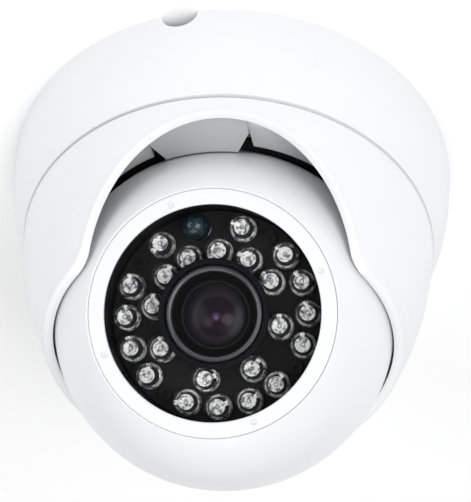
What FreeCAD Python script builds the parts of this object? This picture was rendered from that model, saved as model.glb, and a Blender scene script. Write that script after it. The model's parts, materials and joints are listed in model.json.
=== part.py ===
"""Turret dome camera: fixed base, turning cover, tilting eyeball and rolling camera module.

Frame: millimetres, +Z up. The origin is the centre of the base's mounting face, the dome stands up
along +Z and the notch in the cover faces -Y. The eyeball and what it holds are built in their own
frame, with +Z along the lens, and are then placed at the eyeball's centre at the rest tilt.
Azimuths are degrees from -Y towards +X. Angles on the camera's face are degrees from the face's -Y
towards its -X, which is clockwise as seen from in front with the base at the top.
"""
import FreeCAD
import Part

import math
import os

V = FreeCAD.Vector

# ---- eyeball ----
BALL_RADIUS = 34.04
BALL_WALL = 2.24
BALL_CLEARANCE = 0.3          # to the friction ring and the stop plate
LIP_CLEARANCE = 0.4           # to the cover's opening
ROOM_UNDER_BALL = 4.1         # for the cable, over the base's floor
REST_TILT = 48.8              # lens axis from straight up, towards -Y
REST_YAW = 3.7                # lens axis turned towards +X from the notch's middle
SHELL_SCREW_CIRCLE_RADIUS = BALL_RADIUS - 6.54
SHELL_SCREW_COUNT = 3
SHELL_SCREW_HEAD_DEPTH = 13.5
SHELL_SCREW_REACH = 7.0
SHELL_BOSS_RADIUS = 3.4
SHELL_BOSS_FRONT = 9.0
HEAD_CLEARANCE = 0.3
GASKET_WIDTH = 1.0
GASKET_THICKNESS = 0.8
GROMMET_RADIUS = 5.5
GROMMET_BORE_RADIUS = 2.4
GROMMET_FLANGE_RADIUS = 7.0
GROMMET_FLANGE_THICKNESS = 1.4

# ---- turning head ----
RING_THROAT_RADIUS = BALL_RADIUS - 4.14      # inner edge of the pan ring, round the eyeball
RING_LEDGE_RADIUS = RING_THROAT_RADIUS - 2.9
RING_CONE_OUTER_RADIUS = RING_THROAT_RADIUS + 6.1
RING_CONE_DROP = 1.4
TURN_BORE_RADIUS = RING_THROAT_RADIUS + 7.1  # bore of the base's ledge
TURN_CLEARANCE = 0.08                        # radial, spigot in the ledge's bore
WASHER_THICKNESS = 0.35
WASHER_WIDTH = 1.8
WASHER_PLAY = 0.05
WASHER_SETBACK = 0.3          # from the ledge's bore to the washer
SPIGOT_LENGTH = 6.4
FLANGE_THICKNESS = 1.2
FLANGE_RADIUS = TURN_BORE_RADIUS + 2.5
FRICTION_RING_HEIGHT = 2.8
FRICTION_LEDGE_THICKNESS = 2.2
DOG_CIRCLE_RADIUS = TURN_BORE_RADIUS - 2.6
DOG_AZIMUTHS = (60.0, 180.0, 300.0)
DOG_THICKNESS = 1.8
DOG_RADIUS = 3.1
DOG_REACH = 2.4               # how far a dog reaches under the ledge
DOG_PLAY = 0.1
POST_WIDTH = 8.0
POST_THICKNESS = 1.8
POST_HEIGHT = 6.5
POST_GAP = 0.5                # from a post to the cover's wall
POST_ROOT = 0.2               # how far a post is sunk in the ring's flange
BARB_HEIGHT = 1.4
BARB_DEPTH = 1.0
BARB_TOP_SETBACK = 0.9
BARB_ROOT = 0.1
BARB_SIDE_SETBACK = 1.0
BARB_PLAY = 0.3
M3_RADIUS = 1.5
M3_HEAD_RADIUS = 2.6
M3_HEAD_HEIGHT = 1.6
DRIVE_RECESS_RADIUS = 0.72

# ---- base ----
BASE_RADIUS = 46.5            # at the mounting face
CREASE_HEIGHT = 6.8           # where the side starts to taper
CREASE_RADIUS = BASE_RADIUS - 0.5
SEAT_DROP = 19.34             # base's top edge below the eyeball's centre
SEAM_RADIUS = TURN_BORE_RADIUS + 5.4         # top edge of the base
SIDE_BULGE = 0.55             # how far the tapered side swells in the middle
BASE_WALL = 2.4
BASE_FLOOR = 2.6
DECK_THICKNESS = 2.5          # ledge round the top that carries the turning head
TOP_EDGE_ROUND = 0.9
MOUNT_HOLE_CIRCLE = 2 * (BASE_RADIUS - 13.5) # diameter of the circle of mounting holes
MOUNT_HOLE_RADIUS = 2.25
MOUNT_HOLE_COUNT = 3
MOUNT_HOLE_FIRST_AZIMUTH = 30.0
MOUNT_PAD_RADIUS = 5.0
MOUNT_PAD_HEIGHT = 1.2
CABLE_HOLE_RADIUS = 11.0
CABLE_COLLAR_HEIGHT = 1.4
CABLE_COLLAR_WALL = 1.6
SIDE_NOTCH_WIDTH = 7.3        # arched opening for a cable that runs along the wall
SIDE_NOTCH_HEIGHT = 3.9
SIDE_NOTCH_AZIMUTH = 11.4
SIDE_NOTCH_INNER_RADIUS = BASE_RADIUS - 10.5

# ---- heights of the base and the head ----
BALL_CENTRE_HEIGHT = BASE_FLOOR + ROOM_UNDER_BALL + BALL_RADIUS
BASE_HEIGHT = BALL_CENTRE_HEIGHT - SEAT_DROP
DECK_BOTTOM = BASE_HEIGHT - DECK_THICKNESS
FLANGE_BOTTOM = BASE_HEIGHT + WASHER_THICKNESS + WASHER_PLAY
FLANGE_TOP = FLANGE_BOTTOM + FLANGE_THICKNESS
SPIGOT_RADIUS = TURN_BORE_RADIUS - TURN_CLEARANCE
SPIGOT_BOTTOM = FLANGE_BOTTOM - SPIGOT_LENGTH
FRICTION_RING_BOTTOM = SPIGOT_BOTTOM + FRICTION_LEDGE_THICKNESS

# ---- cover ----
SEAM_GAP = 0.8
COVER_BOTTOM = BASE_HEIGHT + SEAM_GAP
COVER_SEAM_RADIUS = SEAM_RADIUS - 0.2
COVER_MID_HEIGHT = BALL_CENTRE_HEIGHT - 5.74
COVER_MID_RADIUS = COVER_SEAM_RADIUS - 2.0
COVER_TOP_RISE = 7.86         # top of the cover above the eyeball's centre
COVER_TOP_HEIGHT = BALL_CENTRE_HEIGHT + COVER_TOP_RISE
COVER_BORE_RADIUS = math.sqrt((BALL_RADIUS + LIP_CLEARANCE) ** 2 - COVER_TOP_RISE ** 2)
COVER_TOP_RADIUS = COVER_BORE_RADIUS + 1.97
COVER_LIP_HEIGHT = 2.4        # how far down the opening's bore follows the eyeball
COVER_WALL = 1.8
COVER_EDGE_ROUND = 0.6
NOTCH_RADIUS = BALL_RADIUS - 7.34
NOTCH_FLOOR_HEIGHT = FLANGE_TOP + 3.0
NOTCH_CORNER_RADIUS = 3.0
LOCK_SCREW_RADIUS = 1.5
LOCK_SCREW_HEIGHT = FLANGE_TOP + 1.9
LOCK_SCREW_SETBACK = 0.6      # how far the screw lies under the cover's skin
LOCK_SCREW_SOCKET_DEPTH = 1.2
PRY_NOTCH_WIDTH = 1.4
PRY_NOTCH_HEIGHT = 0.5
PRY_NOTCH_AZIMUTH = -81.0

# ---- stop plate in the notch ----
PLATE_AZIMUTH = 8.2
PLATE_WIDTH = 20.0
PLATE_THICKNESS = 1.0
PLATE_CHAMFER_WIDTH = 2.3
PLATE_CHAMFER_LENGTH = 3.6
PLATE_RIM_SETBACK = 0.3       # from the plate's outer edge to the ring's rim
PLATE_POCKET_DEPTH = 4.0      # pocket in the pan ring under the plate's inner end
RIVET_RADIUS = 0.7
RIVET_HEAD_RADIUS = 1.0
RIVET_HEAD_HEIGHT = 0.5
RIVET_REACH = 0.7             # how far a rivet reaches up into the plate
RIVET_SPACING = 14.0
RIVET_CIRCLE_RADIUS = (SPIGOT_RADIUS + FLANGE_RADIUS) / 2

# ---- face of the eyeball; heights from here on are along the lens axis from the ball's centre ----
BEZEL_RADIUS = BALL_RADIUS - 10.47
ROLL_CLEARANCE = 0.1
BORE_EDGE_WIDTH = 0.3         # flat land round the bore's mouth
BORE_MOUTH_RADIUS = BEZEL_RADIUS + ROLL_CLEARANCE + BORE_EDGE_WIDTH
BALL_FRONT = math.sqrt(BALL_RADIUS ** 2 - BORE_MOUTH_RADIUS ** 2)
BEZEL_PROUD = 0.33            # bezel's face in front of the bore's mouth
BEZEL_FACE = BALL_FRONT + BEZEL_PROUD
BEZEL_BACK = BEZEL_FACE - 4.9
BEZEL_LIP = 0.6
BEZEL_EDGE_ROUND = 0.3
WINDOW_VIEW_RADIUS = BEZEL_RADIUS - 3.0
WINDOW_RADIUS = WINDOW_VIEW_RADIUS + 1.63
WINDOW_THICKNESS = 2.0
SEAL_THICKNESS = 0.9
SEAL_INNER_RADIUS = WINDOW_VIEW_RADIUS + 0.23
SPANNER_HOLE_CIRCLE_RADIUS = WINDOW_VIEW_RADIUS + 1.33
SPANNER_HOLE_RADIUS = 0.65
SPANNER_HOLE_DEPTH = 0.35
SPANNER_HOLE_FIRST_ANGLE = 71.0
SPANNER_HOLE_COUNT = 4
SEAT_TOP = BEZEL_BACK - ROLL_CLEARANCE
SEAT_FLANGE_THICKNESS = 2.0
SEAT_BOTTOM = SEAT_TOP - SEAT_FLANGE_THICKNESS
WINDOW_FRONT = BEZEL_FACE - BEZEL_LIP
WINDOW_BACK = WINDOW_FRONT - WINDOW_THICKNESS

# ---- camera module ----
DRUM_RIM_RADIUS = WINDOW_RADIUS + 0.1
DRUM_RADIUS = DRUM_RIM_RADIUS - 0.6
DRUM_WALL = 1.0
DRUM_DEPTH = 13.0             # from the drum's front edge to its back
DRUM_FLOOR = 2.0
DRUM_FRONT = WINDOW_BACK - SEAL_THICKNESS
DRUM_BACK = DRUM_FRONT - DRUM_DEPTH
DRUM_INSIDE = DRUM_BACK + DRUM_FLOOR
SEAT_FLANGE_RADIUS = DRUM_RADIUS + ROLL_CLEARANCE
RETAINER_RADIUS = DRUM_RADIUS + 2.9
RETAINER_THICKNESS = 1.5
BOARD_THICKNESS = 1.6
LED_BOARD_RADIUS = DRUM_RADIUS - DRUM_WALL - 0.2
LED_BOARD_STANDOFF = 1.4
LED_BOARD_BACK = DRUM_INSIDE + LED_BOARD_STANDOFF
LED_BOARD_FRONT = LED_BOARD_BACK + BOARD_THICKNESS
LED_BOARD_SCREW_RADIUS = LED_BOARD_RADIUS - 2.3
LED_BOARD_SCREW_ANGLES = (35.5, 125.5, 216.0, 307.0)
BLIND_HOLE_FLOOR = 0.5        # left under the blind screw holes in the drum's floor
M2_RADIUS = 1.0
M2_HEAD_RADIUS = 1.3
M2_HEAD_HEIGHT = 0.9
LED_RADIUS = 2.5
LED_FLANGE_RADIUS = LED_RADIUS + 0.2
LED_FLANGE_HEIGHT = 1.0
LED_BODY_HEIGHT = 5.6
LED_GAP = 0.2                 # from an LED's flange to the board's edge
OUTER_LED_RING_RADIUS = LED_BOARD_RADIUS - LED_FLANGE_RADIUS - LED_GAP
OUTER_LED_GROUPS = ((51.0, 4), (141.0, 4), (231.0, 4))
OUTER_LED_PITCH = 20.0
OUTER_LED_SINGLES = (324.0, 18.5)
INNER_LED_ANGLES = (4.0, 32.0, 60.5, 102.0, 148.0, 192.0, 241.0, 280.5, 309.5, 336.0)
PHOTOCELL_RADIUS = 2.5
PHOTOCELL_RING_RADIUS = OUTER_LED_RING_RADIUS
PHOTOCELL_ANGLE = 349.0

# ---- lens ----
FRONT_GLASS_RADIUS = 6.6
FRONT_GLASS_THICKNESS = 2.0
FRONT_GLASS_CROWN = 1.3
LENS_HEAD_RADIUS = FRONT_GLASS_RADIUS + 2.4
LENS_LIP_RADIUS = LENS_HEAD_RADIUS + 0.4
LENS_LIP_HEIGHT = 1.8
LENS_FRONT = WINDOW_BACK - 1.0
LENS_HEAD_BACK = LENS_FRONT - 6.7
LENS_RIM_RADIUS = LENS_LIP_RADIUS - 1.3
LENS_RIM_DROP = 0.8
LENS_FACE_WIDTH = 0.4         # flat land round the head's front
LENS_CONE_RADIUS = FRONT_GLASS_RADIUS + 0.2
LENS_CONE_BOTTOM = LENS_FRONT - 3.3
LENS_THREAD_RADIUS = 6.0
LENS_BACK = 4.6
LENS_BORE_RADIUS = LENS_THREAD_RADIUS - 1.4
KEEPER_THICKNESS = 0.7
KEEPER_BORE_RADIUS = FRONT_GLASS_RADIUS - 0.4
KEEPER_PLAY = 0.05
REAR_GLASS_THICKNESS = 2.4
REAR_GLASS_SETBACK = 0.6
LOCK_NUT_RADIUS = LENS_THREAD_RADIUS + 1.9
LOCK_NUT_THICKNESS = 1.6
HOLDER_TUBE_RADIUS = LENS_THREAD_RADIUS + 1.8
HOLDER_HEIGHT = 12.0
HOLDER_FOOT = 2 * LENS_THREAD_RADIUS + 3.0
HOLDER_FOOT_HEIGHT = 3.4
HOLDER_CAVITY = HOLDER_FOOT - 4.0
HOLDER_CAVITY_HEIGHT = 2.2
FILTER_SIZE = 8.6
FILTER_THICKNESS = 0.6
HOLDER_APERTURE_RADIUS = 4.0
HOLDER_APERTURE_DEPTH = 0.8
LED_BOARD_HOLE_RADIUS = HOLDER_TUBE_RADIUS + 0.5

# ---- hood round the lens, and the inner LEDs beside it ----
HOOD_BORE_RADIUS = LENS_HEAD_RADIUS + 0.1
HOOD_WALL = 0.5
HOOD_RADIUS = HOOD_BORE_RADIUS + HOOD_WALL
HOOD_FLARE = 1.0
HOOD_RIM_HEIGHT = 0.5
HOOD_TOP_GAP = 0.1
HOOD_LIP_CLEARANCE = 0.1
INNER_LED_GAP = 0.1           # from an LED's flange to the hood
INNER_LED_RING_RADIUS = HOOD_RADIUS + LED_FLANGE_RADIUS + INNER_LED_GAP

# ---- boards behind the lens ----
BOARD_SIZE = 32.0
BOARD_HOLE_SPACING = BOARD_SIZE - 5.0
BOARD_GAP = 7.0
SPACER_RADIUS = 2.2
SENSOR_LENGTH = 9.0
SENSOR_WIDTH = 8.0
SENSOR_THICKNESS = 1.1
SHIELD_SIZE = 17.0
SHIELD_HEIGHT = 2.6
SHIELD_SETBACK = 3.0          # centre of the shield from the board's, away from the socket
SOCKET_LENGTH = 12.0
SOCKET_WIDTH = 4.2
SOCKET_HEIGHT = 5.0
SOCKET_WALL = 0.8
SOCKET_FLOOR = 1.0
SOCKET_PLACE = 10.5           # centre of the socket from the board's
CUT_MARGIN = 5.0              # how far a cutting tool runs past what it cuts

BALL_CENTRE = V(0, 0, BALL_CENTRE_HEIGHT)
BALL_INNER_RADIUS = BALL_RADIUS - BALL_WALL


# ---- shape helpers ----
def lathe(*outline):
    """Turn a closed outline of (radius, height) points about Z. ("arc", mid, end) is an arc."""
    start = outline[0]
    here = start
    edges = []
    for step in list(outline[1:]) + [start]:
        if step[0] == "arc":
            a, b, c = (V(p[0], 0, p[1]) for p in (here, step[1], step[2]))
            edges.append(Part.Arc(a, b, c).toShape())
            here = step[2]
        elif step != here:
            edges.append(Part.makeLine(V(here[0], 0, here[1]), V(step[0], 0, step[1])))
            here = step
    face = Part.Face(Part.Wire(edges))
    return solid(face.revolve(V(0, 0, 0), V(0, 0, 1), 360))


def solid(shape):
    """Return the shape as one clean solid with outward faces."""
    one = shape.Solids[0] if shape.Solids else Part.Solid(shape.Shells[0])
    one = one.copy()
    if one.Volume < 0:
        one.reverse()
    return one


def tube(outer, inner, bottom, top):
    """A ring with a round hole."""
    body = Part.makeCylinder(outer, top - bottom, V(0, 0, bottom))
    hole = Part.makeCylinder(inner, top - bottom, V(0, 0, bottom))
    return body.cut(hole)


def rod(radius, bottom, top, x=0.0, y=0.0):
    """A round bar along Z."""
    return Part.makeCylinder(radius, top - bottom, V(x, y, bottom))


def block(length, width, bottom, top, x=0.0, y=0.0):
    """A box centred on (x, y)."""
    return Part.makeBox(length, width, top - bottom, V(x - length / 2, y - width / 2, bottom))


def at_azimuth(shape, azimuth):
    """Turn a shape built at -Y to an azimuth."""
    turned = shape.copy()
    turned.rotate(V(0, 0, 0), V(0, 0, 1), azimuth)
    return turned


def face_point(radius, angle):
    """A point on the camera's face."""
    turn = math.radians(angle)
    return -radius * math.sin(turn), -radius * math.cos(turn)


def sphere_width(radius, height):
    """Radius of the ring that a sphere about the ball's centre makes at a height."""
    return math.sqrt(radius ** 2 - (height - BALL_CENTRE_HEIGHT) ** 2)


def group(shapes):
    """Several separate solids as one sub-part."""
    return Part.makeCompound([s for shape in shapes for s in shape.Solids])


def square_corners(spacing):
    """The four corners of a square about the lens axis."""
    half = spacing / 2
    return [(sx * half, sy * half) for sx in (-1, 1) for sy in (-1, 1)]


# ---- base ----
def outer_side(height):
    """Radius of the base's tapered side at a height between the crease and the top."""
    share = (height - CREASE_HEIGHT) / (BASE_HEIGHT - CREASE_HEIGHT)
    bulge = SIDE_BULGE * 4 * share * (1 - share)
    return CREASE_RADIUS + (SEAM_RADIUS - CREASE_RADIUS) * share + bulge


def base_housing():
    """Shell with a floor, a tapered side, a ledge for the head and the cable openings."""
    middle = (CREASE_HEIGHT + BASE_HEIGHT) / 2
    inner_middle = (CREASE_HEIGHT + DECK_BOTTOM) / 2
    shell = lathe(
        (CABLE_HOLE_RADIUS, 0), (BASE_RADIUS, 0), (CREASE_RADIUS, CREASE_HEIGHT),
        ("arc", (outer_side(middle), middle), (SEAM_RADIUS, BASE_HEIGHT)),
        (TURN_BORE_RADIUS, BASE_HEIGHT), (TURN_BORE_RADIUS, DECK_BOTTOM),
        (outer_side(DECK_BOTTOM) - BASE_WALL, DECK_BOTTOM),
        ("arc", (outer_side(inner_middle) - BASE_WALL, inner_middle),
         (CREASE_RADIUS - BASE_WALL, CREASE_HEIGHT)),
        (BASE_RADIUS - BASE_WALL, BASE_FLOOR), (CABLE_HOLE_RADIUS, BASE_FLOOR))
    rim = [e for e in shell.Edges
           if abs(e.BoundBox.ZMin - BASE_HEIGHT) < 0.01 and abs(e.BoundBox.XMax - SEAM_RADIUS) < 0.01
           and e.BoundBox.ZLength < 0.01]
    shell = shell.makeFillet(TOP_EDGE_ROUND, rim)
    collar = tube(CABLE_HOLE_RADIUS + CABLE_COLLAR_WALL, CABLE_HOLE_RADIUS, BASE_FLOOR,
                  BASE_FLOOR + CABLE_COLLAR_HEIGHT)
    shell = shell.fuse(collar)
    for hole in range(MOUNT_HOLE_COUNT):
        azimuth = MOUNT_HOLE_FIRST_AZIMUTH + 360.0 * hole / MOUNT_HOLE_COUNT
        place = -MOUNT_HOLE_CIRCLE / 2
        pad = rod(MOUNT_PAD_RADIUS, BASE_FLOOR, BASE_FLOOR + MOUNT_PAD_HEIGHT, y=place)
        drill = rod(MOUNT_HOLE_RADIUS, -CUT_MARGIN, BASE_FLOOR + CUT_MARGIN, y=place)
        shell = shell.fuse(at_azimuth(pad, azimuth)).cut(at_azimuth(drill, azimuth))
    return solid(shell.cut(side_notch()).removeSplitter())


def side_notch():
    """The arched opening's cutter, along the radius at its azimuth."""
    half = SIDE_NOTCH_WIDTH / 2
    depth = BASE_RADIUS + CUT_MARGIN - SIDE_NOTCH_INNER_RADIUS
    spring = SIDE_NOTCH_HEIGHT - half
    start = -BASE_RADIUS - CUT_MARGIN
    arch = Part.makeCylinder(half, depth, V(0, start, spring), V(0, 1, 0))
    foot = Part.makeBox(SIDE_NOTCH_WIDTH, depth, spring + CUT_MARGIN, V(-half, start, -CUT_MARGIN))
    return at_azimuth(arch.fuse(foot), SIDE_NOTCH_AZIMUTH)


def slip_washer():
    """Thin low-friction washer that lies on the base's ledge."""
    inner = TURN_BORE_RADIUS + WASHER_SETBACK
    return tube(inner + WASHER_WIDTH, inner, BASE_HEIGHT, BASE_HEIGHT + WASHER_THICKNESS)


# ---- turning head ----
def dog_blank(extra, bottom, top):
    """A dog's outline: round about its screw, with a tongue that reaches under the ledge."""
    reach = TURN_BORE_RADIUS + DOG_REACH - DOG_CIRCLE_RADIUS + extra
    width = 2 * (DOG_RADIUS + extra)
    eye = rod(DOG_RADIUS + extra, bottom, top, y=-DOG_CIRCLE_RADIUS)
    tongue = block(width, reach, bottom, top, y=-DOG_CIRCLE_RADIUS - reach / 2)
    return eye.fuse(tongue)


def snap_post():
    """A post on the pan ring with a barb that catches in the cover's wall."""
    outer = cover_inner_radius(FLANGE_TOP + POST_HEIGHT) - POST_GAP
    middle = outer - POST_THICKNESS / 2
    top = FLANGE_TOP + POST_HEIGHT
    post = block(POST_WIDTH, POST_THICKNESS, FLANGE_TOP - POST_ROOT, top, y=-middle)
    barb_top = top - BARB_TOP_SETBACK
    barb = block(POST_WIDTH - 2 * BARB_SIDE_SETBACK, BARB_DEPTH, barb_top - BARB_HEIGHT, barb_top,
                 y=-outer - BARB_DEPTH / 2 + BARB_ROOT)
    return post.fuse(barb)


def barb_pocket():
    """Cutter for the cover's pocket, a little larger than the barb."""
    outer = cover_inner_radius(FLANGE_TOP + POST_HEIGHT) - POST_GAP
    barb_top = FLANGE_TOP + POST_HEIGHT - BARB_TOP_SETBACK
    depth = BARB_DEPTH + BARB_PLAY
    return block(POST_WIDTH - BARB_SIDE_SETBACK, depth, barb_top - BARB_HEIGHT - BARB_PLAY,
                 barb_top + BARB_PLAY, y=-outer - depth / 2)


def pan_ring():
    """Ring that turns in the base, seats the eyeball and carries the cover."""
    cone_bottom = FLANGE_TOP - RING_CONE_DROP
    ring = lathe(
        (SPIGOT_RADIUS, SPIGOT_BOTTOM), (SPIGOT_RADIUS, FLANGE_BOTTOM),
        (FLANGE_RADIUS, FLANGE_BOTTOM), (FLANGE_RADIUS, FLANGE_TOP),
        (RING_CONE_OUTER_RADIUS, FLANGE_TOP), (RING_THROAT_RADIUS, cone_bottom),
        (RING_THROAT_RADIUS, FRICTION_RING_BOTTOM), (RING_LEDGE_RADIUS, FRICTION_RING_BOTTOM),
        (RING_LEDGE_RADIUS, SPIGOT_BOTTOM))
    pocket = dog_blank(HEAD_CLEARANCE, SPIGOT_BOTTOM - CUT_MARGIN, DECK_BOTTOM + DOG_PLAY)
    for azimuth in DOG_AZIMUTHS:
        shank = rod(M3_RADIUS, SPIGOT_BOTTOM, FLANGE_TOP + CUT_MARGIN, y=-DOG_CIRCLE_RADIUS)
        sink = rod(M3_HEAD_RADIUS + HEAD_CLEARANCE, dog_screw_seat(), FLANGE_TOP + CUT_MARGIN,
                   y=-DOG_CIRCLE_RADIUS)
        for tool in (pocket, shank, sink):
            ring = ring.cut(at_azimuth(tool, azimuth))
    for azimuth in DOG_AZIMUTHS:
        ring = ring.fuse(at_azimuth(snap_post(), azimuth))
    pocket_length = RING_THROAT_RADIUS + PLATE_CHAMFER_LENGTH
    pocket = block(PLATE_WIDTH, pocket_length, FLANGE_TOP - PLATE_POCKET_DEPTH, FLANGE_TOP,
                   y=-pocket_length / 2)
    ring = ring.cut(at_azimuth(pocket, PLATE_AZIMUTH))
    return solid(ring.cut(group(plate_rivets())).removeSplitter())


def dog_screw_seat():
    """Height under the heads of the screws that draw the dogs up."""
    return FLANGE_TOP - RING_CONE_DROP - M3_HEAD_HEIGHT


def clamp_dogs():
    """Dogs that hold the pan ring down by reaching under the base's ledge."""
    top = DECK_BOTTOM - DOG_PLAY
    dog = dog_blank(0.0, top - DOG_THICKNESS, top)
    dog = dog.cut(rod(M3_RADIUS, top - DOG_THICKNESS, top, y=-DOG_CIRCLE_RADIUS))
    return group([at_azimuth(solid(dog.removeSplitter()), a) for a in DOG_AZIMUTHS])


def screw(radius, head_radius, head_height, seat, end, x=0.0, y=0.0):
    """A round-head screw along Z with its head above the seat and a drive recess."""
    way = 1 if end < seat else -1
    low, high = min(seat, end), max(seat, end)
    head_low, head_high = sorted((seat, seat + way * head_height))
    body = rod(radius, low, high, x, y).fuse(rod(head_radius, head_low, head_high, x, y))
    recess_low, recess_high = sorted((seat + way * head_height * 0.4, seat + way * head_height))
    across = head_radius * 1.1
    slot = head_radius * 0.3
    drive = block(across, slot, recess_low, recess_high, x, y)
    drive = drive.fuse(block(slot, across, recess_low, recess_high, x, y))
    return solid(body.cut(drive).removeSplitter())


def clamp_screws():
    """Screws through the pan ring into the dogs."""
    end = DECK_BOTTOM - DOG_PLAY - DOG_THICKNESS
    one = screw(M3_RADIUS, M3_HEAD_RADIUS, M3_HEAD_HEIGHT, dog_screw_seat(), end,
                y=-DOG_CIRCLE_RADIUS)
    return group([at_azimuth(one, a) for a in DOG_AZIMUTHS])


def friction_ring():
    """Ring with a spherical face that the eyeball turns on."""
    reach = BALL_RADIUS + BALL_CLEARANCE
    top = FRICTION_RING_BOTTOM + FRICTION_RING_HEIGHT
    middle = (FRICTION_RING_BOTTOM + top) / 2
    return lathe(
        (RING_THROAT_RADIUS, FRICTION_RING_BOTTOM), (RING_THROAT_RADIUS, top),
        (sphere_width(reach, top), top),
        ("arc", (sphere_width(reach, middle), middle),
         (sphere_width(reach, FRICTION_RING_BOTTOM), FRICTION_RING_BOTTOM)))


def plate_rivets():
    """The rivets, from a flush head under the pan ring's flange up into the plate."""
    side = RIVET_SPACING / 2
    depth = math.sqrt(RIVET_CIRCLE_RADIUS ** 2 - side ** 2)
    rivets = []
    for x in (-side, side):
        shank = rod(RIVET_RADIUS, FLANGE_BOTTOM, FLANGE_TOP + RIVET_REACH, x, -depth)
        head = rod(RIVET_HEAD_RADIUS, FLANGE_BOTTOM, FLANGE_BOTTOM + RIVET_HEAD_HEIGHT, x, -depth)
        rivets.append(at_azimuth(solid(shank.fuse(head).removeSplitter()), PLATE_AZIMUTH))
    return rivets


def stop_plate():
    """Plate on the pan ring that closes the notch in front of the eyeball."""
    top = FLANGE_TOP + PLATE_THICKNESS
    half = PLATE_WIDTH / 2
    inner = sphere_width(BALL_RADIUS + BALL_CLEARANCE, top) - CUT_MARGIN
    chamfer_start = inner + CUT_MARGIN + PLATE_CHAMFER_LENGTH
    tip = half - PLATE_CHAMFER_WIDTH * (1 + CUT_MARGIN / PLATE_CHAMFER_LENGTH)
    outline = [(half, -FLANGE_RADIUS), (half, -chamfer_start), (tip, -inner),
               (-tip, -inner), (-half, -chamfer_start), (-half, -FLANGE_RADIUS)]
    points = [V(x, y, FLANGE_TOP) for x, y in outline]
    plate = Part.Face(Part.makePolygon(points + points[:1])).extrude(V(0, 0, PLATE_THICKNESS))
    plate = at_azimuth(plate, PLATE_AZIMUTH)
    plate = plate.common(rod(FLANGE_RADIUS - PLATE_RIM_SETBACK, FLANGE_TOP, top))
    ball = Part.makeSphere(BALL_RADIUS + BALL_CLEARANCE, BALL_CENTRE)
    return solid(plate.cut(ball).cut(group(plate_rivets())).removeSplitter())


def stop_plate_rivets():
    """Blind rivets that hold the stop plate on the pan ring."""
    return group(plate_rivets())


# ---- cover ----
def cover_arc_radius(height):
    """Radius of the cover's outside at a height, on the circle through its three set points."""
    points = [(COVER_SEAM_RADIUS, COVER_BOTTOM), (COVER_MID_RADIUS, COVER_MID_HEIGHT),
              (COVER_TOP_RADIUS, COVER_TOP_HEIGHT)]
    circle = Part.Circle(*[V(r, 0, z) for r, z in points])
    middle = circle.Center
    return middle.x + math.sqrt(circle.Radius ** 2 - (height - middle.z) ** 2)


def cover_inner_radius(height):
    """Radius of the cover's inside at a height."""
    return cover_arc_radius(height) - COVER_WALL


def notch_cutter():
    """The notch's outline, a trough with rounded shoulders, driven in from the front."""
    centre = NOTCH_FLOOR_HEIGHT + NOTCH_RADIUS
    shoulder = COVER_TOP_HEIGHT - NOTCH_CORNER_RADIUS
    span = NOTCH_RADIUS + NOTCH_CORNER_RADIUS
    side = math.sqrt(span ** 2 - (centre - shoulder) ** 2)
    share = NOTCH_RADIUS / span
    touch = (side * share, centre - (centre - shoulder) * share)
    turn = math.atan2(centre - shoulder, -side)
    middle = (turn + math.pi / 2) / 2
    over = (side + NOTCH_CORNER_RADIUS * math.cos(middle),
            shoulder + NOTCH_CORNER_RADIUS * math.sin(middle))
    top = COVER_TOP_HEIGHT + CUT_MARGIN
    start = -COVER_SEAM_RADIUS - CUT_MARGIN

    def point(place, sign):
        return V(sign * place[0], start, place[1])

    edges = [Part.Arc(point(touch, -1), V(0, start, NOTCH_FLOOR_HEIGHT), point(touch, 1)).toShape(),
             Part.Arc(point(touch, 1), point(over, 1),
                      point((side, COVER_TOP_HEIGHT), 1)).toShape(),
             Part.makeLine(point((side, COVER_TOP_HEIGHT), 1), point((side, top), 1)),
             Part.makeLine(point((side, top), 1), point((side, top), -1)),
             Part.makeLine(point((side, top), -1), point((side, COVER_TOP_HEIGHT), -1)),
             Part.Arc(point((side, COVER_TOP_HEIGHT), -1), point(over, -1),
                      point(touch, -1)).toShape()]
    face = Part.Face(Part.Wire(edges))
    return face.extrude(V(0, -start, 0))


def dome_cover():
    """Turning cover with the round opening for the eyeball and the notch in front."""
    lip_start = COVER_TOP_HEIGHT - COVER_LIP_HEIGHT
    lip_middle = COVER_TOP_HEIGHT - COVER_LIP_HEIGHT / 2
    low_middle = (COVER_BOTTOM + lip_start) / 2
    reach = BALL_RADIUS + LIP_CLEARANCE
    shell = lathe(
        (cover_inner_radius(COVER_BOTTOM), COVER_BOTTOM), (COVER_SEAM_RADIUS, COVER_BOTTOM),
        ("arc", (COVER_MID_RADIUS, COVER_MID_HEIGHT), (COVER_TOP_RADIUS, COVER_TOP_HEIGHT)),
        (COVER_BORE_RADIUS, COVER_TOP_HEIGHT),
        ("arc", (sphere_width(reach, lip_middle), lip_middle),
         (sphere_width(reach, lip_start), lip_start)),
        ("arc", (cover_inner_radius(low_middle), low_middle),
         (cover_inner_radius(COVER_BOTTOM), COVER_BOTTOM)))
    shell = shell.cut(notch_cutter())
    shell = round_cover_edges(shell)
    for azimuth in DOG_AZIMUTHS:
        shell = shell.cut(at_azimuth(barb_pocket(), azimuth))
    lock = Part.makeCylinder(LOCK_SCREW_RADIUS, COVER_SEAM_RADIUS + CUT_MARGIN,
                             V(0, 0, LOCK_SCREW_HEIGHT), V(0, 1, 0))
    pry = block(PRY_NOTCH_WIDTH, CUT_MARGIN, COVER_BOTTOM - CUT_MARGIN,
                COVER_BOTTOM + PRY_NOTCH_HEIGHT, y=-COVER_SEAM_RADIUS)
    shell = shell.cut(lock).cut(at_azimuth(pry, PRY_NOTCH_AZIMUTH))
    return solid(shell.removeSplitter())


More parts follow.
